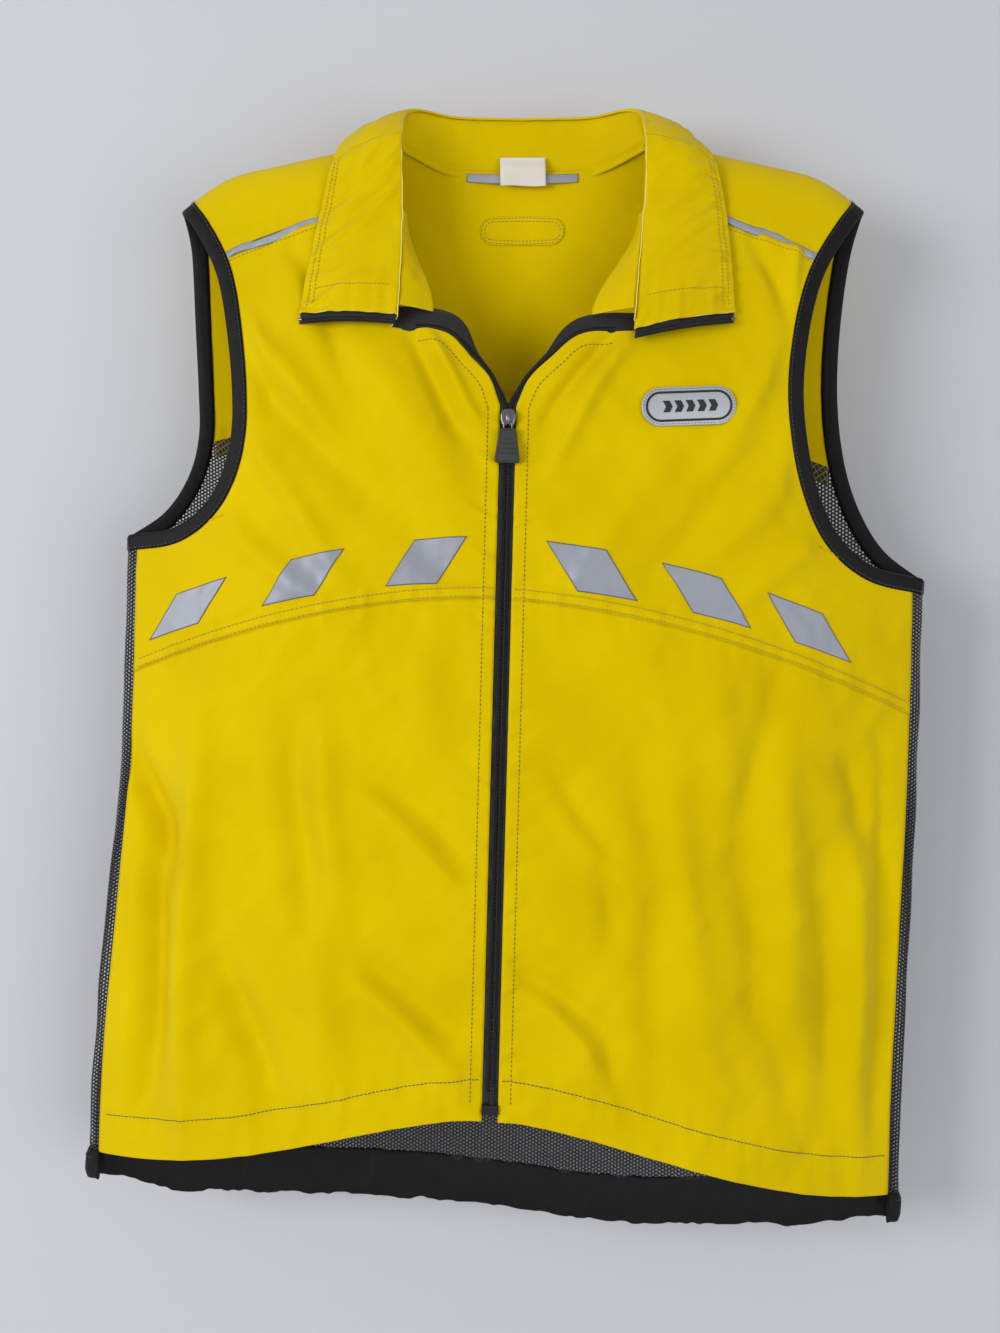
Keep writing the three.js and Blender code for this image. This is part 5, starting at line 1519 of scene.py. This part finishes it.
def build_badge():
    """Chest badge: a soft reflective stadium with a printed ring, a stitched rim and five plain chevrons."""
    mount = next(m for m in frame["record"]["mounts"] if m["name"] == "badge_face")
    centre = np.array(mount["pos_m"]) / MM
    normal = unit(np.array(mount["axis"]))
    rise = np.array([-math.sin(BADGE_TURN), 0, math.cos(BADGE_TURN)])
    across = unit(np.cross(rise, normal))
    if across[0] < 0:
        across = -across
    rise = unit(np.cross(across, normal))
    if rise[2] < 0:
        rise = -rise

    def place(outline, h):
        return centre + outline[:, :1] * across + outline[:, 1:] * rise + normal * h

    def plate(name, width, height, low_h, high_h, material):
        rings = [place(stadium(width, height), low_h), place(stadium(width, height), high_h - 0.35),
                 place(stadium(width - 0.3, height - 0.3), high_h - 0.1),
                 place(stadium(width - 0.9, height - 0.9), high_h)]
        return tube(name, np.array(rings), material)
    ground = plate("badge_ground", 60, 24, -1.6, 0.15, finish("badge"))
    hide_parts("chest_badge")
    path = place(stadium(53.5, 17.5, 120), 0.18)
    round_cord("badge_ring", path, 0.75, finish("ink"), sides=6, closed=True,
               up=np.broadcast_to(normal, path.shape))
    rim = stadium(57.6, 21.6, 140)
    row = place(np.vstack([rim, rim[:1]]), 0.22), np.broadcast_to(normal, (141, 3))
    stitches("badge_stitches", [row], finish("grey_thread"), pitch=2.0, length=1.3,
             thick=0.28)
    chevron = np.array([(0, -3.6), (4.2, -3.6), (6.0, 0), (4.2, 3.6), (0, 3.6), (1.8, 0)])
    points, faces = [], []
    for n in range(5):
        corners = chevron + np.array([-16.5 + n * 7.2, 0])
        points += [place(corners, 0.12), place(corners, 0.42)]
        top = 12 * n + 6
        faces += [[top + k for k in range(6)]]
        faces += [[12 * n + k, 12 * n + (k + 1) % 6, top + (k + 1) % 6, top + k] for k in range(6)]
        faces += [[12 * n + k for k in reversed(range(6))]]
    mesh = bpy.data.meshes.new("badge_emblem")
    mesh.from_pydata((np.concatenate(points) * MM).tolist(), [], faces)
    mesh.materials.append(finish("ink"))
    outward(mesh)
    obj = bpy.data.objects.new("badge_emblem", mesh)
    bpy.context.scene.collection.objects.link(obj)
    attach(obj, "root")


def seam_line(x0, x1, height, count=400):
    """Points (x, height(x)) of a seam from x0 to x1."""
    x = np.linspace(x0, x1, count)
    return np.stack([x, height(x)], -1)


# heights of the two rows of topstitching above a seam
TWIN_ROWS = (1.4, 6.8)


def build_seam_stitches():
    """Topstitching in matching thread: two rows on the arc seam and yoke seam, one beside the zip, one at the
    hem and one beside the piping; the zip and hem rows are painted olive and charcoal as painted shade of
    their puckers."""
    for name, sign in SIDES:
        twins = [seam_line(ZIP_HALF + 1, SIDE_SEAM - 3, lambda x: arc_seam(x) + lift) for lift in TWIN_ROWS]
        rows = [on_front(both(line, sign), 0.5) for line in twins]
        hem = seam_line(ZIP_HALF + 2, SIDE_SEAM - 3, lambda x: front_hem(x) + HEM_DEPTH)
        # the hem's row is matching yellow thread painted charcoal: painted shade of the puckers along it
        stitches(f"hem_stitches_{name}", [on_front(both(hem, sign), 0.35)], finish("deep_painted_shade_thread"),
                 pitch=2.6, length=2.3, thick=0.3)
        t = np.linspace(0.0, 0.975, 900)
        p = zip_edge(t)
        ahead = unit(zip_edge(np.minimum(t + 0.004, 1.0)) - zip_edge(np.maximum(t - 0.004, 0.0)))
        line = p + np.stack([ahead[:, 1], -ahead[:, 0]], -1) * 7.6
        # the zip's row is matching yellow thread painted olive: painted shade of the puckers along it
        stitches(f"zip_stitches_{name}", [on_front(both(line, sign), 0.35)], finish("olive_painted_shade_thread"))
        beside = seam_line(NECK_HALF + 20, 196, lambda x: piping_seam(x) - PIPING_WIDTH - 2.2)
        rows.append(on_front(both(beside, sign), 0.35))
        stitches(f"front_stitches_{name}", rows, finish("yellow_thread"))
    edge_x = 208.0
    rows = [on_back(seam_line(-edge_x, edge_x, lambda x: back_seam(x) + lift), 0.5) for lift in TWIN_ROWS]
    stitches("back_stitches", rows, finish("yellow_thread"))
    r = np.linspace(-MESH_REACH + 4, MESH_REACH - 4, 900)
    row = upright(lambda h: around(np.sign(r), np.abs(r), band_top(r) - 3.0, h), 2.2)
    stitches("hem_band_stitches", [row], finish("black_thread"))


def build_overlock():
    """Overlocked seam allowance that hangs inside below the back seam."""
    u, v = grid(240, 8)
    x = mix(-206.0, 206.0, u)
    z = back_seam(x) + 1.0 - 11.5 * v
    points = cloth(1, x, z, back_relief(x, z) - 1.3 - 1.2 * v + 0.5 * noise(x / 9, v * 2) * v)
    piece = cloth_panel("overlock_strip", points, finish("overlock"), np.stack([x, z], -1), flip=False,
                        thick=0.4)


# ---- stage ----
def build_backdrop():
    """Pale wall behind the vest, the floor below it, soft key, fill and back lights, and the camera."""
    wall = bpy.data.meshes.new("wall")
    wide, tall, wall_y, floor_z = 3.0, 2.6, 0.055, -1.25
    wall.from_pydata([(-wide, wall_y, floor_z), (wide, wall_y, floor_z), (wide, wall_y, tall),
                      (-wide, wall_y, tall)], [], [(0, 1, 2, 3)])
    floor = bpy.data.meshes.new("floor")
    floor.from_pydata([(-wide, -4, floor_z), (wide, -4, floor_z), (wide, wall_y, floor_z),
                       (-wide, wall_y, floor_z)], [], [(0, 1, 2, 3)])
    emulsion, tree, principled = shader("matt_wall_paint", "#c4c5c9", 0.95, Specular_IOR_Level=0.1)
    # the wall is one-sided, so that the vest's back can be looked at through it
    side = node(tree, "ShaderNodeNewGeometry").outputs["Backfacing"]
    clear = node(tree, "ShaderNodeBsdfTransparent").outputs["BSDF"]
    both_sides = node(tree, "ShaderNodeMixShader", [(0, side), (1, principled.outputs["BSDF"]), (2, clear)])
    tree.links.new(tree.nodes["Material Output"].inputs["Surface"], both_sides.outputs[0])
    for mesh in (wall, floor):
        mesh.materials.append(emulsion)
        obj = bpy.data.objects.new(mesh.name, mesh)
        bpy.context.scene.collection.objects.link(obj)
        obj.visible_shadow = False
    bpy.context.scene.view_settings.view_transform = "Standard"
    world = bpy.data.worlds.new("studio")
    bpy.context.scene.world = world
    world.use_nodes = True
    sky = world.node_tree.nodes["Background"]
    sky.inputs["Color"].default_value = linear("#eef0f4")
    sky.inputs["Strength"].default_value = 0.62
    for name, place, aim, size, power in (
            ("key", (-1.7, -1.8, -0.05), (0, 0, -0.4), 1.1, 33),
            ("fill", (1.5, -2.4, -0.8), (0.1, 0, -0.4), 1.8, 22),
            ("back", (0.7, 2.4, 0.2), (0, 0, -0.4), 1.6, 26)):
        lamp = bpy.data.lights.new(name, "AREA")
        lamp.size, lamp.energy = size, power
        obj = bpy.data.objects.new(name, lamp)
        obj.location = place
        toward = np.array(aim) - np.array(place)
        obj.rotation_euler = look_along(toward)
        bpy.context.scene.collection.objects.link(obj)
    camera = bpy.data.cameras.new("camera")
    camera.lens, camera.sensor_width, camera.sensor_fit = 40, 36, "VERTICAL"
    camera.sensor_height = 36
    obj = bpy.data.objects.new("camera", camera)
    obj.location = (-0.015, -0.983, -0.3285)
    obj.rotation_euler = (math.pi / 2, 0, 0)
    bpy.context.scene.collection.objects.link(obj)
    bpy.context.scene.camera = obj


def look_along(toward):
    """Euler turn that points an object's -Z along a direction, its Y up."""
    return Vector(toward).to_track_quat("-Z", "Y").to_euler()


# ---- the add-on ----
class VEST_OT_front_yokes(bpy.types.Operator):
    """Upper fronts, from the arc seam to the forward shoulder seam"""
    bl_idname = "vest.front_yokes"
    bl_label = "Front yokes"

    def execute(self, context):
        build_front_yokes()
        return {"FINISHED"}


class VEST_OT_front_lowers(bpy.types.Operator):
    """Lower fronts, turned up inside at the hem"""
    bl_idname = "vest.front_lowers"
    bl_label = "Lower fronts"

    def execute(self, context):
        build_front_lowers()
        return {"FINISHED"}


class VEST_OT_back_yoke(bpy.types.Operator):
    """Back yoke"""
    bl_idname = "vest.back_yoke"
    bl_label = "Back yoke"

    def execute(self, context):
        build_back_yoke()
        return {"FINISHED"}


class VEST_OT_back_mesh(bpy.types.Operator):
    """Mesh back"""
    bl_idname = "vest.back_mesh"
    bl_label = "Mesh back"

    def execute(self, context):
        build_back_mesh()
        return {"FINISHED"}


class VEST_OT_hem_band(bpy.types.Operator):
    """Gathered hem band round an elastic"""
    bl_idname = "vest.hem_band"
    bl_label = "Hem band"

    def execute(self, context):
        build_hem_band()
        return {"FINISHED"}


class VEST_OT_bindings(bpy.types.Operator):
    """Armhole bindings"""
    bl_idname = "vest.bindings"
    bl_label = "Armhole bindings"

    def execute(self, context):
        build_bindings()
        return {"FINISHED"}


class VEST_OT_pipings(bpy.types.Operator):
    """Reflective piping along each forward shoulder seam"""
    bl_idname = "vest.pipings"
    bl_label = "Shoulder piping"

    def execute(self, context):
        build_pipings()
        return {"FINISHED"}


class VEST_OT_collar(bpy.types.Operator):
    """Collar stand, the fall behind and the two wings, which bend up from the shoulders"""
    bl_idname = "vest.collar"
    bl_label = "Collar"

    def execute(self, context):
        build_collar()
        return {"FINISHED"}


class VEST_OT_revers(bpy.types.Operator):
    """Inner side of the collar that shows between each fold and the opening, turned out by the wing"""
    bl_idname = "vest.revers"
    bl_label = "Revers"

    def execute(self, context):
        build_revers()
        return {"FINISHED"}


class VEST_OT_zip(bpy.types.Operator):
    """Zip tapes, closed up to the slider and parted above it"""
    bl_idname = "vest.zip"
    bl_label = "Zip"

    def execute(self, context):
        build_zip()
        return {"FINISHED"}


class VEST_OT_slider(bpy.types.Operator):
    """Slider body with its bridge, the wire and the moulded pull"""
    bl_idname = "vest.slider"
    bl_label = "Slider and pull"

    def execute(self, context):
        build_slider()
        return {"FINISHED"}


class VEST_OT_reflectors(bpy.types.Operator):
    """Reflective patches along the arc seam in front and along the yoke seam behind"""
    bl_idname = "vest.reflectors"
    bl_label = "Reflectors"

    def execute(self, context):
        build_reflectors()
        return {"FINISHED"}


class VEST_OT_neck_pieces(bpy.types.Operator):
    """Hang loop, blank label in front of it and the oval patch sewn below, all inside the back neck"""
    bl_idname = "vest.neck_pieces"
    bl_label = "Neck pieces"

    def execute(self, context):
        build_neck_pieces()
        return {"FINISHED"}


class VEST_OT_badge(bpy.types.Operator):
    """Chest badge"""
    bl_idname = "vest.badge"
    bl_label = "Chest badge"

    def execute(self, context):
        build_badge()
        return {"FINISHED"}


class VEST_OT_stitches(bpy.types.Operator):
    """Topstitching in matching thread"""
    bl_idname = "vest.stitches"
    bl_label = "Topstitching"

    def execute(self, context):
        build_seam_stitches()
        return {"FINISHED"}


class VEST_OT_overlock(bpy.types.Operator):
    """Overlocked seam allowance that hangs inside below the back seam"""
    bl_idname = "vest.overlock"
    bl_label = "Overlock"

    def execute(self, context):
        build_overlock()
        return {"FINISHED"}


class VEST_OT_backdrop(bpy.types.Operator):
    """Pale wall behind the vest, the floor below it, a soft key light and fill, and the camera"""
    bl_idname = "vest.backdrop"
    bl_label = "Backdrop"

    def execute(self, context):
        build_backdrop()
        return {"FINISHED"}


OPERATORS = (
    VEST_OT_front_yokes, VEST_OT_front_lowers, VEST_OT_back_yoke, VEST_OT_back_mesh, VEST_OT_hem_band,
    VEST_OT_bindings, VEST_OT_pipings, VEST_OT_collar, VEST_OT_revers, VEST_OT_zip, VEST_OT_slider,
    VEST_OT_reflectors, VEST_OT_neck_pieces, VEST_OT_badge, VEST_OT_stitches, VEST_OT_overlock,
    VEST_OT_backdrop)


class VEST_PT_sidebar(bpy.types.Panel):
    """The vest's settings and the pieces that can be built"""
    bl_idname = "VEST_PT_sidebar"
    bl_label = "High visibility vest"
    bl_space_type = "VIEW_3D"
    bl_region_type = "UI"
    bl_category = "Vest"

    def draw(self, context):
        for settings in (context.scene.vest_sizes, context.scene.vest_colours):
            column = self.layout.column()
            for key in type(settings).__annotations__:
                column.prop(settings, key)
        pieces = self.layout.column()
        for operator in OPERATORS:
            pieces.operator(operator.bl_idname)


CLASSES = (VestSizes, VestColours, *OPERATORS, VEST_PT_sidebar)


def register():
    for made in CLASSES:
        bpy.utils.register_class(made)
    bpy.types.Scene.vest_sizes = bpy.props.PointerProperty(type=VestSizes)
    bpy.types.Scene.vest_colours = bpy.props.PointerProperty(type=VestColours)


def unregister():
    del bpy.types.Scene.vest_colours
    del bpy.types.Scene.vest_sizes
    for made in reversed(CLASSES):
        bpy.utils.unregister_class(made)


def main():
    register()
    for operator in OPERATORS:
        name = operator.bl_idname.split(".")[1]
        if getattr(bpy.ops.vest, name)() != {"FINISHED"}:
            raise RuntimeError(f"{operator.bl_label} wasn't built")


if __name__ == "__main__":
    main()
